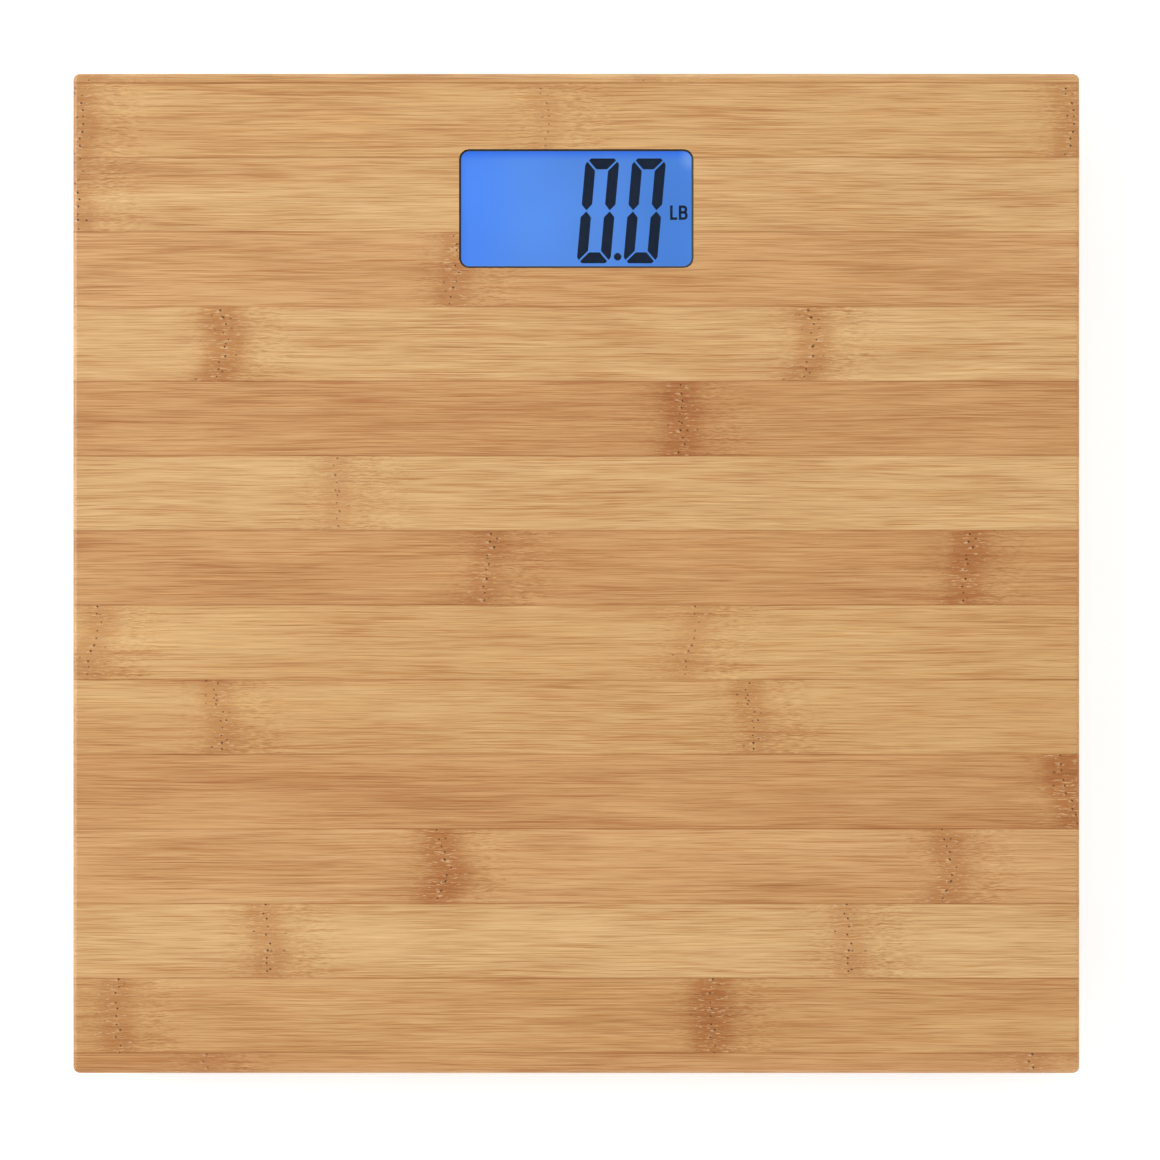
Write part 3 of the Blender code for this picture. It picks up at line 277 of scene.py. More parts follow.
# knuckles: signed distance to the nearest one, and its strength; the line wanders across the strip
wanderAt = addNode(tree, "CombineXYZ", seed, across, 0)
scale, reach = board["wander"]
wander = addNode(tree, "TexNoise", {"Vector": wanderAt, "Scale": scale, "Detail": 1})
wanderBy = addNode(tree, "MapRange", wander, 0.3, 0.7, -reach, reach, clamp=False)
frayAt = addNode(tree, "CombineXYZ", seed, across, up)
scale, reach = board["fray"]
fray = addNode(tree, "TexNoise", {"Vector": frayAt, "Scale": scale, "Detail": 2})
frayBy = addNode(tree, "MapRange", fray, 0.3, 0.7, -reach, reach, clamp=False)
wandered = addNode(tree, "Math ADD", along, wanderBy)
span = board["knuckleSpan"]
nearest, strength = None, None
for channel in range(3):
    middle = addNode(tree, "MapRange", spotParts[channel], 0, 1, -span, span)
    apart = addNode(tree, "Math SUBTRACT", wandered, middle)
    if nearest is None:
        nearest, strength = apart, showParts[0]
        continue
    mine = addNode(tree, "Math ABSOLUTE", apart)
    theirs = addNode(tree, "Math ABSOLUTE", nearest)
    closer = addNode(tree, "Math LESS_THAN", mine, theirs)
    nearest = addNode(tree, "Mix", {0: closer, 2: nearest, 3: apart})
    strength = addNode(tree, "Mix", {0: closer, 2: strength, 3: showParts[channel]})
frayed = addNode(tree, "Math ADD", nearest, frayBy)
frayedFar = addNode(tree, "Math ABSOLUTE", frayed)
bandEdge = addNode(tree, "MapRange", strength, 0.3, 1, *board["bandReach"])
band = addNode(tree, "MapRange", frayedFar, board["core"], bandEdge, 1, 0, **softly)
bandShows = addNode(tree, "Math MULTIPLY", band, strength)
sideOn = addNode(tree, "Math SUBTRACT", nearest, board["crumpleSide"])
sideFar = addNode(tree, "Math ABSOLUTE", sideOn)
crumple = addNode(tree, "MapRange", sideFar, *board["crumpleReach"], 1, 0, **softly)

# fibres bend gently along the strip, and crumple beside a knuckle
bendAt = addNode(tree, "CombineXYZ", along, across, seed)
sways = []
for factors, reach in (board["bend"], board["kink"]):
    swaySpan = addNode(tree, "VectorMath MULTIPLY", bendAt, factors)
    sway = addNode(tree, "TexNoise", {"Vector": swaySpan, "Scale": 1, "Detail": 1})
    sways.append(addNode(tree, "MapRange", sway, 0, 1, -reach, reach, clamp=False))
bendBy = sways[0]
kinkBy = addNode(tree, "Math MULTIPLY", sways[1], crumple)
bent = addNode(tree, "Math ADD", across, bendBy)
fibre = addNode(tree, "Math ADD", bent, kinkBy)
fibreAt = addNode(tree, "CombineXYZ", along, fibre, up)
seedAt = addNode(tree, "CombineXYZ", seed, seed, seed)

layers = {}
for name, (length, width) in board["streaks"].items():
    span = addNode(tree, "VectorMath MULTIPLY", fibreAt, (1 / length, 1 / width, 1 / width))
    moved = addNode(tree, "VectorMath ADD", span, seedAt)
    layers[name] = addNode(tree, "TexNoise", {"Vector": moved, "Scale": 1, "Detail": 2,
                                              "Roughness": 0.68})

spread = {}
for name, half in board["spreads"].items():
    spread[name] = addNode(tree, "MapRange", layers[name], 0.5 - half, 0.5 + half, -1, 1)
calm = addNode(tree, "MapRange", crumple, 0, 1, *board["fineShare"])
amount = addNode(tree, "Math MULTIPLY", spread["fineStreak"], calm)
for name, share in board["shares"].items():
    amount = addNode(tree, "Math MULTIPLY_ADD", spread[name], share, amount)
shortAmount = addNode(tree, "Math MULTIPLY", crumple, board["shortShare"])
value = addNode(tree, "Math MULTIPLY_ADD", spread["shortFibre"], shortAmount, amount)
shadeAt = addNode(tree, "MapRange", value, -1, 1, 0, 1)
shade = addNode(tree, "ValToRGB", shadeAt, stops={"blend": "LINEAR", "at": [
    (0, (0.66, 0.49, 0.35)), (0.3, (0.88, 0.8, 0.71)), (0.5, (1, 1, 1)),
    (0.75, (1.1, 1.13, 1.17)), (1, (1.2, 1.27, 1.36))]})
streaked = addNode(tree, "Mix", {0: 1, 6: tone, 7: shade}, **tinting)

# thin dark lines where a bundle of fibres was planed through, and slow drifts to a warmer brown
lineMask = addNode(tree, "MapRange", layers["midStreak"], 0.57, 0.66, 0, 0.55)
lined = addNode(tree, "Mix", {0: lineMask, 6: streaked, 7: board["lineTint"]}, **tinting)
# crisp hairlines run where this noise crosses its middle value, and fade in and out along it
hairOff = addNode(tree, "Math SUBTRACT", layers["hairline"], 0.5)
hairFar = addNode(tree, "Math ABSOLUTE", hairOff)
hairShows = addNode(tree, "MapRange", layers["wideStreak"], 0.4, 0.58, 0.1, 1)
hair = addNode(tree, "MapRange", hairFar, 0.012, 0.05, hairShows, 0)
lined = addNode(tree, "Mix", {0: hair, 6: lined, 7: board["hairTint"]}, **tinting)
warmShare = addNode(tree, "MapRange", layers["warmth"], 0.45, 0.75, 0, 0.8)
warmed = addNode(tree, "Mix", {0: warmShare, 6: lined, 7: board["warmTint"]}, **tinting)

# reddish streaks gather in patches
redMask = addNode(tree, "MapRange", layers["redStreak"], 0.56, 0.66, 0, 1)
patch = addNode(tree, "MapRange", layers["cloud"], 0.62, 0.42, 0, 0.6)
redAmount = addNode(tree, "Math MULTIPLY", redMask, patch)
reddened = addNode(tree, "Mix", {0: redAmount, 6: warmed, 7: board["red"]}, **blending)

# short dark dashes of single fibre bundles, thicker towards the knuckles
dashMask = addNode(tree, "MapRange", layers["dash"], 0.58, 0.7, 0, 1)
dashShows = addNode(tree, "MapRange", crumple, 0, 1, 0.25, 0.6)
dashAmount = addNode(tree, "Math MULTIPLY", dashMask, dashShows)
dashed = addNode(tree, "Mix", {0: dashAmount, 6: reddened, 7: board["dashTint"]}, **tinting)

# knuckle band, its pores and the pale flecks beside them
haloFar = addNode(tree, "Math ABSOLUTE", nearest)
haloWide = addNode(tree, "MapRange", layers["cloud"], 0.3, 0.7, 30, 12)
haloShare = addNode(tree, "MapRange", haloFar, 2, haloWide, 0.8, 0, **softly)
haloShows = addNode(tree, "Math MULTIPLY", haloShare, strength)
haloed = addNode(tree, "Mix", {0: haloShows, 6: dashed, 7: board["haloTint"]}, **tinting)
bandUneven = addNode(tree, "MapRange", layers["shortFibre"], 0.38, 0.6, 0.4, 1.1, clamp=False)
bandHere = addNode(tree, "Math MULTIPLY", bandShows, bandUneven)
banded = addNode(tree, "Mix", {0: bandHere, 6: haloed, 7: board["bandTint"]}, **tinting)
# one pore in each step across the strip, nudged and sized by that step's random values
poreRun = addNode(tree, "Math ADD", across, up)
poreCount = addNode(tree, "Math DIVIDE", poreRun, board["poreStep"])
poreIndex = addNode(tree, "Math FLOOR", poreCount)
poreShare = addNode(tree, "Math FRACT", poreCount)
nudgeAt = addNode(tree, "CombineXYZ", poreIndex, seed, 0)
nudge = addNode(tree, "TexWhiteNoise", nudgeAt, noise_dimensions="3D", out="Color")
nudgeParts = addNode(tree, "SeparateColor", nudge, out=None)
poreRest = addNode(tree, "MapRange", nudgeParts[0], 0, 1, 0.3, 0.7)
poreUp = addNode(tree, "Math SUBTRACT", poreShare, poreRest)
poreHigh = addNode(tree, "Math MULTIPLY", poreUp, board["poreStep"])
poreSlip = addNode(tree, "MapRange", nudgeParts[1], 0, 1, -board["poreSlip"], board["poreSlip"])
poreAlong = addNode(tree, "Math ADD", nearest, poreSlip)
poreAt = addNode(tree, "CombineXYZ", poreAlong, poreHigh, 0)
poreFar = addNode(tree, "VectorMath LENGTH", poreAt, out=1)
radius = board["poreRadius"]
poreWide = addNode(tree, "MapRange", nudgeParts[2], 0, 1, radius * 0.75, radius * 1.5)
poreDot = addNode(tree, "MapRange", poreFar, radius * 0.4, poreWide, 1, 0)
fleckAt = addNode(tree, "VectorMath ADD", poreAt, (0.75, 0.3, 0))
fleckSpan = addNode(tree, "VectorMath MULTIPLY", fleckAt, (0.5, 1, 1))
fleckFar = addNode(tree, "VectorMath LENGTH", fleckSpan, out=1)
fleckLight = addNode(tree, "MapRange", nudgeParts[2], 0.2, 0.9, 0, 0.6)
fleckDot = addNode(tree, "MapRange", fleckFar, 0.15, 0.42, fleckLight, 0)
strayAt = addNode(tree, "CombineXYZ", nearest, fibre, up)
strayLong, strayWide = board["strayPore"]
straySpan = addNode(tree, "VectorMath MULTIPLY", strayAt, (1 / strayLong, 1 / strayWide, 0.4))
strayMoved = addNode(tree, "VectorMath ADD", straySpan, seedAt)
strayCell = addNode(tree, "TexVoronoi", {"Vector": strayMoved, "Scale": 1})
strayDot = addNode(tree, "MapRange", strayCell, 0.06, 0.14, 0.8, 0)
stray = addNode(tree, "Math MULTIPLY", strayDot, band)
poreAny = addNode(tree, "Math MAXIMUM", poreDot, stray)
poreReach = addNode(tree, "MapRange", strength, 0, 0.5, 0, 1)
pore = addNode(tree, "Math MULTIPLY", poreAny, poreReach)
fleck = addNode(tree, "Math MULTIPLY", fleckDot, poreReach)
liftMask = addNode(tree, "MapRange", layers["shortFibre"], 0.42, 0.32, 0, 0.85)
liftWide = addNode(tree, "MapRange", frayedFar, 4, 8.5, 1, 0)
liftHere = addNode(tree, "Math MULTIPLY", liftMask, liftWide)
lift = addNode(tree, "Math MULTIPLY", liftHere, poreReach)
lifted = addNode(tree, "Mix", {0: lift, 6: banded, 7: board["lifted"]}, **blending)
flecked = addNode(tree, "Mix", {0: fleck, 6: lifted, 7: board["fleck"]}, **blending)
pored = addNode(tree, "Mix", {0: pore, 6: flecked, 7: board["pore"]}, **blending)

# glue lines between strips and between plies
folded = addNode(tree, "Math SUBTRACT", inStrip, 0.5)
foldedFar = addNode(tree, "Math ABSOLUTE", folded)
glueShare = 0.5 - board["glueWide"] / board["strip"]
glueLine = addNode(tree, "MapRange", foldedFar, glueShare - 0.008, glueShare, 0, 1)
glueShows = addNode(tree, "MapRange", layers["cloud"], 0.35, 0.6, *board["glueShows"])
plyFold = addNode(tree, "Math FRACT", plyShare)
plyLine = addNode(tree, "Math GREATER_THAN", plyFold, board["plyLine"])
glue = addNode(tree, "Math MULTIPLY", glueLine, glueShows)
glueAll = addNode(tree, "Math MAXIMUM", glue, plyLine)
jointed = addNode(tree, "Mix", {0: glueAll, 6: pored, 7: board["glueTint"]}, **tinting)

# cut ends show the fibre bundles as dots
normalAxes = addNode(tree, "SeparateXYZ", place["Normal"], out=None)
facing = addNode(tree, "Mix", {0: isMiddle, 2: normalAxes[0], 3: normalAxes[1]})
facingFar = addNode(tree, "Math ABSOLUTE", facing)
cutEnd = addNode(tree, "MapRange", facingFar, 0.65, 0.85, 0, 1)
dotSpan = addNode(tree, "VectorMath MULTIPLY", raw, (1, 1, 1.25))
dotCell = addNode(tree, "TexVoronoi", {"Vector": dotSpan, "Scale": 1, "Randomness": 0.9})
dot = addNode(tree, "MapRange", dotCell, 0.22, 0.36, 0.75, 0)
dotShade = addNode(tree, "Mix", {0: dot, 6: board["fibreTint"], 7: board["bundleTint"]}, **blending)
endShade = addNode(tree, "Mix", {0: cutEnd, 6: (1, 1, 1, 1), 7: dotShade}, **blending)
woodColour = addNode(tree, "Mix", {0: 1, 6: jointed, 7: endShade}, **tinting)
tree.links.new(woodColour, shader.inputs["Base Color"])

sheen = addNode(tree, "MapRange", value, -1, 1, 0.5, 0.36)
tree.links.new(sheen, shader.inputs["Roughness"])
heightOfPore = addNode(tree, "Math MULTIPLY_ADD", pore, -1.2, value)
height = addNode(tree, "Math MULTIPLY_ADD", glueAll, -1.5, heightOfPore)
relief = addNode(tree, "Bump", {"Strength": 0.25, "Distance": 0.00004, "Height": height})
tree.links.new(relief, shader.inputs["Normal"])
dress(bamboo, "bamboo_board")
print("bamboo board")


def mouldedPlastic(name, colour, grain, roughness, depth, bending):
    # moulded plastic: a spark-eroded mould leaves a fine even pitting, and the colour
    # drifts very slightly where the flow cooled at different rates
    material, tree, shader = newMaterial(name, Roughness=roughness, IOR=bending)
    place = addNode(tree, "TexCoord", out="Object")
    pits = addNode(tree, "TexNoise", {"Vector": place, "Scale": 1 / (grain * mm),
                                      "Detail": 2, "Roughness": 0.6})
    flow = addNode(tree, "TexNoise", {"Vector": place, "Scale": 45, "Detail": 3})
    tint = addNode(tree, "MapRange", flow, 0.3, 0.7, 0.88, 1.12)
    shaded = addNode(tree, "VectorMath SCALE", {0: toLinear(colour)[:3], 3: tint})
    tree.links.new(shaded, shader.inputs["Base Color"])
    gloss = addNode(tree, "MapRange", pits, 0.3, 0.7, roughness - 0.07, roughness + 0.07)
    tree.links.new(gloss, shader.inputs["Roughness"])
    relief = addNode(tree, "Bump", {"Strength": 0.5, "Distance": depth * mm, "Height": pits})
    tree.links.new(relief, shader.inputs["Normal"])
    return material


def platedMetal(name, colour, second, roughness, grain, stretch):
    # plated or ground steel: fine lines left by rolling, and a soft change of tint in the plating
    material, tree, shader = newMaterial(name, Metallic=1.0, Roughness=roughness)
    place = addNode(tree, "TexCoord", out="Object")
    spanned = addNode(tree, "Mapping", {"Vector": place, "Scale": stretch})
    lines = addNode(tree, "TexNoise", {"Vector": spanned, "Scale": 1 / (grain * mm), "Detail": 2})
    film = addNode(tree, "TexNoise", {"Vector": place, "Scale": 180, "Detail": 2})
    tint = addNode(tree, "Mix", {0: film, 6: colour, 7: second}, **blending)
    tree.links.new(tint, shader.inputs["Base Color"])
    gloss = addNode(tree, "MapRange", lines, 0.3, 0.7, roughness - 0.08, roughness + 0.1)
    tree.links.new(gloss, shader.inputs["Roughness"])
    relief = addNode(tree, "Bump", {"Strength": 0.3, "Distance": 0.01 * mm, "Height": lines})
    tree.links.new(relief, shader.inputs["Normal"])
    return material


# each moulded or extruded finish: its slot, colour, grain in millimetres, roughness, depth of
# the grain in millimetres and index of refraction
plastics = {
    # spark-eroded mould: a dull even grey-black with a fine pitting
    "sparkTexturedAbs": ("housing_plastic", "#3b3c3e", 0.35, 0.55, 0.03, 1.54),
    # the same resin from a finer mould, with a soft shine along its edges
    "fineTexturedBlackAbs": ("black_plastic", "#202022", 0.3, 0.45, 0.02, 1.54),
    # pale grey button, slightly shiny from use
    "semiGlossGreyAbs": ("button_plastic", "#a3a5a7", 0.3, 0.4, 0.015, 1.54),
    # milky lamp housing
    "mouldedWhiteNylon": ("lamp_bar", "#e2e0d8", 0.25, 0.4, 0.01, 1.53),
    # compression-moulded rubber: very dull, with a dusty grain
    "mouldedBlackRubber": ("rubber", "#2b2b2c", 0.45, 0.82, 0.05, 1.52),
    # die-cut foam: no shine at all, open cells
    "closedCellFoam": ("foam", "#262628", 0.5, 0.95, 0.12, 1.4),
    # elastomer connector: grey and slightly greasy
    "bandedSilicone": ("silicone", "#8f8f92", 0.3, 0.6, 0.01, 1.41),
    # polished acrylic guide, blue where the lamps shine in
    "edgeLitAcrylic": ("light_guide", "#5f93e8", 0.5, 0.2, 0.01, 1.49),
    # poured epoxy: glossy with a long soft swell
    "curedBlackEpoxy": ("epoxy", "#1b1b1c", 1.2, 0.22, 0.03, 1.55),
    # green lacquer over glass cloth: smooth, with a faint weave
    "solderMaskedLaminate": ("circuit_board", "#1d5a35", 0.6, 0.3, 0.02, 1.55),
    # shrunk printed foil: dark satin, and a lighter copper-coloured end
    "printedFoilSleeve": ("battery_sleeve", "#3a3c40", 0.5, 0.32, 0.01, 1.5),
    "printedFoilEnd": ("sleeve_end", "#b9742f", 0.5, 0.3, 0.01, 1.5),
    # extruded vinyl: smooth, softly shiny lengths
    "extrudedWhiteVinyl": ("white_wire", "#dedbd2", 0.4, 0.45, 0.02, 1.54),
    "extrudedRedVinyl": ("red_wire", "#b3241c", 0.4, 0.42, 0.02, 1.54),
    "extrudedBlackVinyl": ("black_wire", "#222223", 0.4, 0.42, 0.02, 1.54),
}
# each metal finish: its slot, two tints of its surface, roughness, grain and stretch of the grain
metals = {
    # rolled and ground strip: fine straight lines, a cool grey shine
    "groundSpringSteel": ("spring_steel", "#b6b8bb", "#a7a9ac", 0.36, 0.4, (1, 0.05, 1)),
    # bright zinc: a bluish shine with yellowish clouds
    "zincPlatedSteel": ("zinc_steel", "#c4c8cc", "#c9c4b2", 0.3, 0.3, (1, 1, 1)),
    # nickel: warmer and smoother
    "nickelPlatedSteel": ("plated_steel", "#cfccc4", "#c2beb4", 0.26, 0.3, (1, 1, 0.1)),
}
bySlot = {}
for name, (slotName, *values) in plastics.items():
    bySlot[slotName] = mouldedPlastic(name, *values)
for name, (slotName, *values) in metals.items():
    bySlot[slotName] = platedMetal(name, *values)
for name, node in nodes.items():
    slotName = node.data.materials[0].name
    if slotName in bySlot:
        dress(bySlot[slotName], name)
print("finishes")


display = {
    "middle": (0.0, 110.5), "halfWidth": 35.5, "panelTop": 19.4,
    "digitScale": 1.0057, "digits": (6.6, 20.8), "digitY": 110.25, "lean": 0.089,
    "halfDigit": 5.1, "stroke": 3.15, "halfHeight": 15.85, "inkThickness": 0.06,
    "dot": (12.55, 96.3), "dotRadius": 1.15, "unitAt": (28.9, 107.5), "unitHeight": 4.4,
    "pen": 0.78, "foot": 1.75, "letterStep": 2.65, "waist": 0.52, "bowls": (1.9, 1.75),
    # where the painted shade along the far edge starts and ends, the point of the painted corner
    # highlight and how far that highlight reaches
    "paintedShadeEdge": (125.2, 128.4), "lamp": (35.2, 126.2, 19.4), "glintReach": (0.8, 4.8),
}

# twisted-nematic glass over an edge-lit guide: an even blue field, livelier beside the lamps on the
# left;
# the deeper blue along the far edge is painted shade, the shadow the board's edge casts on the
# sunken display
lcdGlass, tree, shader = newMaterial("backlitLiquidCrystalGlass", Base_Color="#0c1c3c",
                                     Roughness=0.12, Emission_Strength=1.0)
place = addNode(tree, "TexCoord", out="Object")
axes = addNode(tree, "SeparateXYZ", place, out=None)
half = display["halfWidth"] * mm
acrossAt = addNode(tree, "MapRange", axes[0], -half, half, 0, 1)
field = addNode(tree, "ValToRGB", acrossAt, stops={"blend": "EASE", "at": [
    (0, "#4786f5"), (0.04, "#4f8efb"), (0.3, "#5893f2"), (0.6, "#568fe6"),
    (0.9, "#4a86de"), (1, "#4c88e2")]})
# painted shade: the field turns a deeper blue towards the far edge, where the board's edge shades
# the sunken display
shadeFrom, shadeTo = (edge * mm for edge in display["paintedShadeEdge"])
paintedShadeAt = addNode(tree, "MapRange", axes[1], shadeFrom, shadeTo, 0, 0.8, **softly)
paintedLightField = addNode(tree, "Mix", {0: paintedShadeAt, 6: field, 7: "#3474f0"}, **blending)
# painted highlight: a pale patch painted into the field round one point at the far right corner,
# standing in for a glint on the lens's rounded rim
glintAt = [value * mm for value in display["lamp"]]
glintOffset = addNode(tree, "VectorMath SUBTRACT", place, glintAt)
glintFar = addNode(tree, "VectorMath LENGTH", glintOffset, out=1)
glintFrom, glintTo = (far * mm for far in display["glintReach"])
paintedCornerGlint = addNode(tree, "MapRange", glintFar, glintFrom, glintTo, 0.32, 0, **softly)
paintedLightField = addNode(tree, "Mix", {0: paintedCornerGlint, 6: paintedLightField, 7: "#9cc4fb"}, **blending)
glowAt = addNode(tree, "Mapping", {"Vector": place, "Scale": (22, 34, 1)})
glow = addNode(tree, "TexNoise", {"Vector": glowAt, "Scale": 1, "Detail": 1})
glowShade = addNode(tree, "MapRange", glow, 0.3, 0.7, 0.93, 1.05)
lit = addNode(tree, "VectorMath SCALE", {0: paintedLightField, 3: glowShade})
tree.links.new(lit, shader.inputs["Emission Color"])
dress(lcdGlass, "lcd_panel")

# switched-on liquid crystal: nearly black, with a little of the blue field leaking through
ink, tree, shader = newMaterial("switchedLiquidCrystal", Base_Color="#060b12", Roughness=0.4,
                                Specular_IOR_Level=0.2, Emission_Strength=1.0)
place = addNode(tree, "TexCoord", out="Object")
leakAt = addNode(tree, "Mapping", {"Vector": place, "Scale": (60, 60, 60)})
leak = addNode(tree, "TexNoise", {"Vector": leakAt, "Scale": 1, "Detail": 1})
leakColour = addNode(tree, "ValToRGB", leak, stops={"blend": "LINEAR", "at": [
    (0, "#03142a"), (1, "#081c34")]})
tree.links.new(leakColour, shader.inputs["Emission Color"])


def inkShape(outline, low, high):
    # a flat outline (n, 2) raised into a closed prism: the outline at two heights, joined round
    outline = np.asarray(outline, float)
    n = len(outline)
    points = np.vstack([np.c_[outline, np.full(n, low)], np.c_[outline, np.full(n, high)]])
    ring = np.arange(n)
    nextOne = (ring + 1) % n
    sides = np.stack([ring, nextOne, nextOne + n, ring + n], -1).tolist()
    return points, [ring[::-1].tolist(), (ring + n).tolist()] + sides


def joinShapes(shapes):
    # stacks point arrays and moves each face's numbers on by the points before it
    points, faces, count = [], [], 0
    for shapePoints, shapeFaces in shapes:
        points.append(shapePoints)
        faces += [[corner + count for corner in face] for face in shapeFaces]
        count += len(shapePoints)
    return np.vstack(points), faces


def digitZero(centreX):
    # six bars of a seven-bar figure, drawn upright about its middle, then leaned:
    # x moves by lean times height
    h, w, s = display["halfHeight"], display["halfDigit"], display["stroke"]
    inner = w - s
    topBar = [(-3.5, h), (-4.1, h - 0.65), (-inner + 0.35, h - 3.3), (inner - 0.35, h - 3.3),
              (4.1, h - 0.65), (3.5, h)]
    sideBar = [(inner, h - 3.75), (inner, 2.0), (w - s / 2, 0.15), (w, 1.9), (w, h - 1.9),
               (w - 0.55, h - 0.95)]
    bars = []
    for flipX, flipY, bar in [(1, 1, topBar), (1, -1, topBar), (1, 1, sideBar), (-1, 1, sideBar),
                              (1, -1, sideBar), (-1, -1, sideBar)]:
        shape = np.array(bar) * (flipX, flipY)
        shape = shape if flipX * flipY > 0 else shape[::-1]
        shape[:, 0] += display["lean"] * shape[:, 1]
        bars.append(shape * display["digitScale"] + (centreX, display["digitY"]))
    return bars


def roundOutline(outline, radius, steps=5):
    # each corner becomes a short arc: points run from one edge to the next along a
    # quadratic curve whose middle control point is the corner
    outline = np.asarray(outline, float)
    before, after = np.roll(outline, 1, 0), np.roll(outline, -1, 0)
    back = before - outline
    on = after - outline
    backLong = np.linalg.norm(back, axis=1, keepdims=True)
    onLong = np.linalg.norm(on, axis=1, keepdims=True)
    cut = np.minimum(radius, 0.45 * np.minimum(backLong, onLong))
    start, end = outline + back / backLong * cut, outline + on / onLong * cut
    t = np.linspace(0, 1, steps)[None, :, None]
    curve = ((1 - t) ** 2 * start[:, None] + 2 * t * (1 - t) * outline[:, None]
             + t ** 2 * end[:, None])
    return curve.reshape(-1, 2)


inkLow = display["panelTop"] + 0.01
inkHigh = inkLow + display["inkThickness"]
shapes = [inkShape(roundOutline(bar, 0.2), inkLow, inkHigh)
          for centre in display["digits"] for bar in digitZero(centre)]
turn = np.linspace(0, 2 * np.pi, 32, endpoint=False)
dotRing = np.c_[np.cos(turn), np.sin(turn)] * display["dotRadius"] + display["dot"]
shapes.append(inkShape(dotRing, inkLow, inkHigh))
readout = newPiece("readoutZero", *joinShapes(shapes), ink, smooth=False)
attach(readout, "root")


def strokeShape(path, width, low, high, closed):
    # a pen stroke of even width: the path moved half a width to each side along the mitre
    # of its neighbours, raised into a closed strip
    path = np.asarray(path, float)
    before = np.roll(path, 1, 0) if closed else np.vstack([2 * path[0] - path[1], path[:-1]])
    after = np.roll(path, -1, 0) if closed else np.vstack([path[1:], 2 * path[-1] - path[-2]])
    first = path - before
    first /= np.linalg.norm(first, axis=1, keepdims=True)
    second = after - path
    second /= np.linalg.norm(second, axis=1, keepdims=True)
    side = np.c_[-first[:, 1] - second[:, 1], first[:, 0] + second[:, 0]]
    side /= np.linalg.norm(side, axis=1, keepdims=True)
    reach = width / 2 / np.clip(-side[:, :1] * first[:, 1:] + side[:, 1:] * first[:, :1], 0.5, 1)
    left, right = path + side * reach, path - side * reach
    corners = [np.c_[left, np.full(len(path), high)], np.c_[right, np.full(len(path), high)],
               np.c_[right, np.full(len(path), low)], np.c_[left, np.full(len(path), low)]]
    points = np.stack(corners, 1).reshape(-1, 3)
    faces = gridFaces(len(path), 4, True)
    end = (len(path) - 1) * 4
    if closed:
        faces += [[end + c, end + (c + 1) % 4, (c + 1) % 4, c] for c in range(4)]
    else:
        faces += [[3, 2, 1, 0], [end, end + 1, end + 2, end + 3]]
    return points, faces


def bowl(left, low, right, high):
    # the D of a letter: a straight back on the left, and a half superellipse on the right
    angle = np.linspace(-np.pi / 2, np.pi / 2, 17)
    x = left + 0.8 + (right - left - 0.8) * np.abs(np.cos(angle)) ** 0.7
    y = (low + high) / 2 + (high - low) / 2 * np.sign(np.sin(angle)) * np.abs(np.sin(angle)) ** 0.7
    return np.vstack([[(left, low)], np.c_[x, y], [(left, high)]])


# two letters in pen strokes: a back and a foot, then a lower and an upper bowl on one back
pen = display["pen"]
unitX, unitLow = display["unitAt"]
unitHigh = unitLow + display["unitHeight"]
waist = unitLow + display["waist"] * display["unitHeight"]
backB = unitX + display["letterStep"]
lowBowl, highBowl = (backB + wide for wide in display["bowls"])
line = unitLow + pen / 2
unitShapes = [strokeShape(path, pen, inkLow, inkHigh, closed) for path, closed in (
    ([(unitX, unitHigh), (unitX, line), (unitX + display["foot"], line)], False),
    (bowl(backB, line, lowBowl, waist), True),
    (bowl(backB, waist, highBowl, unitHigh - pen / 2), True))]
unitMark = newPiece("readoutUnit", *joinShapes(unitShapes), ink, smooth=False)
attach(unitMark, "root")


def roundedRing(halfWide, halfDeep, radius, steps=8):
    # points round a rounded rectangle: four quarter circles about its corner centres
    turn = np.linspace(0, np.pi / 2, steps)
    quarter = np.c_[np.cos(turn), np.sin(turn)] * radius
    centre = np.array([halfWide - radius, halfDeep - radius])
    first = quarter + centre
    second = np.c_[-quarter[:, 1], quarter[:, 0]] + centre * (-1, 1)
    third = -quarter - centre
    fourth = np.c_[quarter[:, 1], -quarter[:, 0]] + centre * (1, -1)
    return np.vstack([first, second, third, fourth])


def frameShape(rings, middle):
    # a closed frame: each ring is (half width, half depth, corner radius, height), and every
    # ring is joined to the next, the last to the first
    outlines = [roundedRing(*ring[:3]) + middle for ring in rings]
    count = len(outlines[0])
    rows = [np.c_[outline, np.full(count, ring[3])] for outline, ring in zip(outlines, rings)]
    total = count * len(rows)
    faces = [[corner % total for corner in face] for face in gridFaces(len(rows) + 1, count, True)]
    return np.vstack(rows), faces


# a printed black border under the lens, and the bead that seals the lens in the board
window = {
    "mask": [(38.4, 20.9, 4.0, 19.5), (38.4, 20.9, 4.0, 19.66), (35.0, 17.8, 2.7, 19.66),
             (35.0, 17.8, 2.7, 19.5)],
    "maskMiddle": (0.0, 110.7),
    "bead": [(35.53, 18.03, 3.0, 21.0), (35.53, 18.03, 3.0, 24.48), (35.3, 17.8, 2.8, 24.6),
             (34.92, 17.42, 2.5, 24.48), (34.92, 17.42, 2.5, 24.32), (35.24, 17.74, 2.8, 24.32),
             (35.24, 17.74, 2.8, 21.0)],
}
for name, rings, middle in (("windowMask", window["mask"], window["maskMiddle"]),
                            ("windowBead", window["bead"], display["middle"])):
    piece = newPiece(name, *frameShape(rings, middle), bySlot["black_plastic"], smooth=False)
    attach(piece, "root")

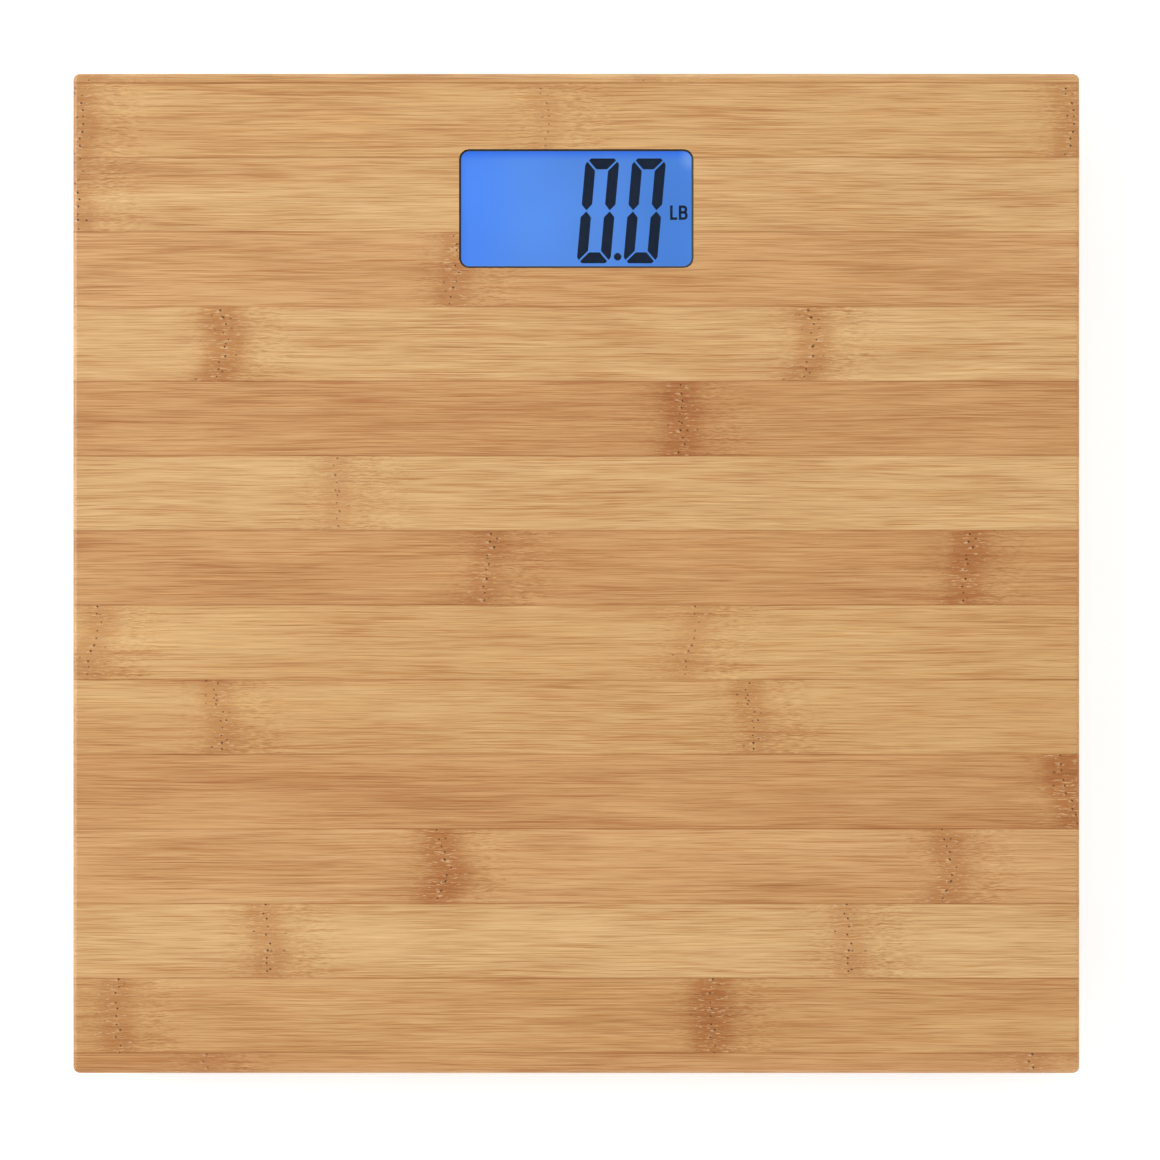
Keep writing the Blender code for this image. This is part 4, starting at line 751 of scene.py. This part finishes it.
# clear moulded acrylic: polished faces, a soft glint along its rounded rim
acrylic, tree, shader = newMaterial("clearMouldedAcrylic", Base_Color="#fbfdff", Roughness=0.03,
                                    IOR=1.49, Transmission_Weight=1.0)
place = addNode(tree, "TexCoord", out="Object")
smear = addNode(tree, "TexNoise", {"Vector": place, "Scale": 60, "Detail": 3})
haze = addNode(tree, "MapRange", smear, 0.35, 0.75, 0, 0.03)
tree.links.new(haze, shader.inputs["Roughness"])
dress(acrylic, "window_lens")
print("display")


def revolve(radii, heights, middle, steps, dent=lambda x, y, z: 0.0):
    # a surface of revolution: x = r cos(a), y = r sin(a), z from the profile, with a pole
    # where r is 0 at each end; dent(x, y, z) is added to z
    angle = np.linspace(0, 2 * np.pi, steps, endpoint=False)
    r, z = np.asarray(radii, float)[1:-1, None], np.asarray(heights, float)[1:-1, None]
    x, y = r * np.cos(angle), r * np.sin(angle)
    z = z + np.zeros_like(x)
    z = z + dent(x, y, z)
    start = [[0.0, 0.0, heights[0] + dent(0.0, 0.0, heights[0])]]
    points = np.vstack([start, np.stack([x, y, z], -1).reshape(-1, 3), [[0, 0, heights[-1]]]])
    rows = len(radii) - 2
    body = (np.array(gridFaces(rows, steps, True)) + 1).tolist()
    ring = np.arange(steps)
    onward = (ring + 1) % steps
    first = np.stack([np.zeros_like(ring), onward + 1, ring + 1], -1).tolist()
    last = 1 + (rows - 1) * steps
    end = np.stack([np.full_like(ring, last + steps), last + ring, last + onward], -1).tolist()
    return points + np.array([*middle, 0.0]), first + body + end


def turnOut(piece):
    # makes every face look outwards
    mesh = bmesh.new()
    mesh.from_mesh(piece.data)
    bmesh.ops.recalc_face_normals(mesh, faces=mesh.faces)
    mesh.to_mesh(piece.data)
    mesh.free()
    return piece


def middleOf(name):
    low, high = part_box(name)
    return (low + high) / 2 / mm


feet = ("front_left", "front_right", "rear_left", "rear_right")

# moulded rubber pad: round-edged disc with three grip grooves and a gate dimple
pad = {"radius": 17.1, "top": 2.3, "edge": 0.6, "grooves": (5.2, 9.0, 12.8), "grooveWide": 0.9,
       "grooveDeep": 0.55, "dimple": 1.8, "dimpleDeep": 0.3}
flatR = np.linspace(0, pad["radius"] - pad["edge"], 90)
groove = sum(np.clip(1 - (np.abs(flatR - at) / pad["grooveWide"]) ** 4, 0, 1)
             for at in pad["grooves"]) * pad["grooveDeep"]
dimple = np.clip(1 - (flatR / pad["dimple"]) ** 2, 0, 1) * pad["dimpleDeep"]
turn = np.linspace(0, np.pi / 2, 6)[1:]
edgeR = pad["radius"] - pad["edge"] + pad["edge"] * np.sin(turn)
edgeZ = pad["edge"] * (1 - np.cos(turn))
padR = np.r_[flatR, edgeR, pad["radius"], pad["radius"] - 0.2, pad["radius"] * 0.5, 0]
padZ = np.r_[groove + dimple, edgeZ, pad["top"] - 0.15, pad["top"], pad["top"], pad["top"]]
for foot in feet:
    turned = revolve(padR, padZ, middleOf("foot_pad_" + foot)[:2], 72)
    piece = turnOut(newPiece("rubberPad_" + foot, *turned, bySlot["rubber"]))
    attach(piece, "foot_" + foot)
    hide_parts("foot_pad_" + foot)
print("rubber pads")

# each load cell's plate, which in the scale bends over the boss of its foot and rests on the
# housing's rails:
# its CAD mesh copied with doubled points merged, in spring steel, on the root body
for foot in feet:
    name = "load_cell_" + foot
    shape = bmesh.new()
    shape.from_mesh(nodes[name].data)
    bmesh.ops.remove_doubles(shape, verts=shape.verts, dist=0.01 * mm)
    plateMesh = bpy.data.meshes.new("loadCellPlate_" + foot)
    shape.to_mesh(plateMesh)
    shape.free()
    plateMesh.materials.append(bySlot["spring_steel"])
    piece = bpy.data.objects.new("loadCellPlate_" + foot, plateMesh)
    bpy.context.scene.collection.objects.link(piece)
    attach(piece, "root")
    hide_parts(name)
    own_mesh(piece)
print("load cell plates")

# pan-head wood screw: domed head with a cross recess, and a rolled thread on the shank
screw = {"headRadius": 3.05, "headLow": 6.53, "seat": 8.0, "shank": 1.22, "core": 0.85,
         "pitch": 1.1, "tip": 17.05, "domeHigh": 0.95, "pointLong": 1.9, "pointRadius": 0.45,
         "slotWide": 0.42, "slotLong": 1.75, "slotDeep": 1.0, "slotFlank": 0.12, "slotRun": 0.9,
         "firstTurn": 0.7, "turnStep": 1.9}


def crossRecess(x, y, z):
    # a cross of two slots, deepest in the middle: each arm's depth falls off linearly towards
    # its end and over its steep sides; only the head is dented
    arms = [np.clip((screw["slotWide"] - np.abs(a)) / screw["slotFlank"], 0, 1)
            * np.clip((screw["slotLong"] - np.abs(b)) / screw["slotRun"], 0, 1)
            for a, b in ((x, y), (y, x))]
    return np.maximum(*arms) * screw["slotDeep"] * (z < screw["seat"] - 0.6)


turn = np.linspace(0, np.pi / 2, 26)
domeR = screw["headRadius"] * np.sin(turn)
domeZ = screw["headLow"] + screw["domeHigh"] * (1 - np.cos(turn) ** 1.2)
shankZ = np.linspace(screw["seat"], screw["tip"] - screw["pointLong"], 40)
wave = np.abs(((shankZ - screw["seat"]) / screw["pitch"]) % 1 - 0.5) * 2
shankR = screw["shank"] - (screw["shank"] - screw["core"]) * wave ** 0.8
screwR = np.r_[domeR, screw["headRadius"], shankR, screw["pointRadius"], 0.0]
screwZ = np.r_[domeZ, screw["seat"], shankZ, screw["tip"] - 0.5, screw["tip"]]
screwNodes = [name for name in sorted(nodes) if "_screw_" in name]
for index, name in enumerate(screwNodes):
    points, faces = revolve(screwR, screwZ, (0, 0), 56, crossRecess)
    spin = screw["firstTurn"] + screw["turnStep"] * index
    turnBy = np.array([[np.cos(spin), -np.sin(spin), 0], [np.sin(spin), np.cos(spin), 0],
                       [0, 0, 1]])
    centre = middleOf(name)
    points = points @ turnBy.T + (centre[0], centre[1], 0)
    piece = turnOut(newPiece("crossHeadScrew_" + name, points, faces, bySlot["zinc_steel"]))
    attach(piece, "root")
    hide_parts(name)
print("screws:", len(screwNodes))


def smoothPath(points, steps):
    # Catmull-Rom: between each two points a cubic that leaves along the line of its neighbours
    points = np.asarray(points, float)
    padded = np.vstack([2 * points[0] - points[1], points, 2 * points[-1] - points[-2]])
    t = np.linspace(0, 1, steps, endpoint=False)[:, None]
    runs = []
    for i in range(len(points) - 1):
        a, b, c, d = padded[i:i + 4]
        runs.append(0.5 * (2 * b + (c - a) * t + (2 * a - 5 * b + 4 * c - d) * t ** 2
                           + (3 * b - a - 3 * c + d) * t ** 3))
    return np.vstack(runs + [points[-1:]])


def tube(path, radius, around, aside=0.0):
    # a round tube along a path: each ring stands square to the path in the frame of the
    # path's direction and the vertical; aside moves the tube sideways; ends are capped
    path = np.asarray(path, float)
    way = np.gradient(path, axis=0)
    way /= np.linalg.norm(way, axis=1, keepdims=True)
    side = np.cross(way, [0.0, 0.0, 1.0])
    small = np.linalg.norm(side, axis=1) < 0.2
    side[small] = np.cross(way[small], [0.0, 1.0, 0.0])
    side /= np.linalg.norm(side, axis=1, keepdims=True)
    up = np.cross(side, way)
    angle = np.linspace(0, 2 * np.pi, around, endpoint=False)
    ring = (side[:, None] * np.cos(angle)[:, None] + up[:, None] * np.sin(angle)[:, None])
    points = (path + side * aside)[:, None] + ring * radius
    faces = gridFaces(len(path), around, True)
    last = (len(path) - 1) * around
    faces += [list(range(around))[::-1], [last + i for i in range(around)]]
    return points.reshape(-1, 3), faces


# each load cell's three wires lie side by side along the CAD lead's route
lead = {
    "front": [(106.3, -98.3, 12.2), (100.2, -86.8, 12.2), (79.1, -47.6, 12.2),
              (58.1, -8.3, 12.2), (37.1, 30.9, 12.2), (33.75, 37.1, 12.2), (33.75, 45.1, 12.2),
              (33.75, 62.8, 11.7), (33.75, 77.8, 11.7), (33.75, 84.0, 11.7)],
    "rear": [(97.2, 113.5, 12.2), (84.2, 113.5, 12.2), (66.0, 113.5, 12.2),
             (56.9, 113.5, 12.2), (49.9, 113.5, 12.2), (47.7, 113.5, 11.7),
             (41.7, 113.5, 11.7)],
    "wire": 0.36, "spread": 0.7,
}
for foot in feet:
    row, side = foot.split("_")
    route = smoothPath(np.array(lead[row]) * (-1 if side == "left" else 1, 1, 1), 10)
    shapes = [tube(route, lead["wire"], 12, lead["spread"] * offset) for offset in (-1, 0, 1)]
    piece = newPiece("loadCellWires_" + foot, *joinShapes(shapes), bySlot["white_wire"])
    for slotName in ("red_wire", "black_wire"):
        piece.data.materials.append(bySlot[slotName])
    perWire = len(piece.data.polygons) // 3
    piece.data.polygons.foreach_set("material_index", np.repeat([1, 0, 2], perWire))
    turnOut(piece)
    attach(piece, "root")
    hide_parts("load_cell_lead_" + foot)
print("load cell wires")

# conical battery springs: a wire wound on a cone, its first and last half turns lying flat
spring = {"wide": 3.4, "narrow": 2.1, "wire": 0.34, "turns": 4.0, "perTurn": 28, "height": 14.85}
for index in (1, 2, 3):
    low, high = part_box(f"battery_spring_{index}")
    low, high = low / mm, high / mm
    side = -1 if low[0] < 0 else 1
    back, front = (low[0], high[0]) if side < 0 else (high[0], low[0])
    share = np.linspace(0, 1, int(spring["turns"] * spring["perTurn"]) + 1)
    angle = share * spring["turns"] * 2 * np.pi
    rise = np.clip((share - 0.125) / 0.75, 0, 1)
    radius = spring["wide"] + (spring["narrow"] - spring["wide"]) * rise
    start, end = back - side * spring["wire"], front + side * spring["wire"]
    path = np.c_[start + (end - start) * rise, (low[1] + high[1]) / 2 + radius * np.cos(angle),
                 spring["height"] + radius * np.sin(angle)]
    wound = tube(path, spring["wire"], 10)
    piece = turnOut(newPiece(f"coneSpring_{index}", *wound, bySlot["plated_steel"]))
    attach(piece, "root")
    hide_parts(f"battery_spring_{index}")
print("springs")

# steel-canned cells: crimped ends, a nub, and a printed sleeve with a lighter band
cell = {"length": 44.5, "nubHigh": 0.8, "height": 14.85, "band": 12.0, "steel": (0.6, 0.3)}
bodyLong = cell["length"] - cell["nubHigh"]
bandStart = bodyLong - cell["band"]
# radius and distance from the flat end, from one end's middle to the other's
cellProfile = np.array([
    (0, 0.15), (3.9, 0.15), (4.25, 0.0), (4.6, 0.05), (4.75, 0.3), (4.8, 0.6), (5.05, 0.62),
    (5.2, 0.85), (5.2, 1.2), (5.2, bandStart - 0.1), (5.2, bandStart), (5.2, bodyLong - 1.2),
    (5.17, bodyLong - 0.6), (4.9, bodyLong - 0.25), (4.3, bodyLong - 0.2),
    (4.2, bodyLong - 0.35), (2.6, bodyLong - 0.35), (2.2, bodyLong - 0.1), (1.95, bodyLong),
    (1.9, cell["length"] - 0.2), (1.7, cell["length"]), (0, cell["length"])])
for index in (1, 2, 3):
    low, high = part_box(f"battery_{index}")
    low, high = low / mm, high / mm
    points, faces = revolve(cellProfile[:, 0], cellProfile[:, 1], (0, 0), 64)
    flip = 1 if abs(high[0]) > abs(low[0]) else -1
    start = low[0] if flip > 0 else high[0]
    laid = np.c_[start + flip * points[:, 2], (low[1] + high[1]) / 2 + points[:, 0],
                 cell["height"] + points[:, 1]]
    piece = newPiece(f"dryCell_{index}", laid, faces, bySlot["battery_sleeve"])
    for slotName in ("plated_steel", "sleeve_end"):
        piece.data.materials.append(bySlot[slotName])
    centres = np.zeros(len(piece.data.polygons) * 3)
    piece.data.polygons.foreach_get("center", centres)
    where = np.abs(centres.reshape(-1, 3)[:, 0] / mm - start)
    finish = np.where((where < cell["steel"][0]) | (where > bodyLong - cell["steel"][1]), 1,
                      np.where(where > bandStart, 2, 0))
    piece.data.polygons.foreach_set("material_index", finish.astype(np.int32))
    turnOut(piece)
    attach(piece, "root")
    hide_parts(f"battery_{index}")
print("cells")
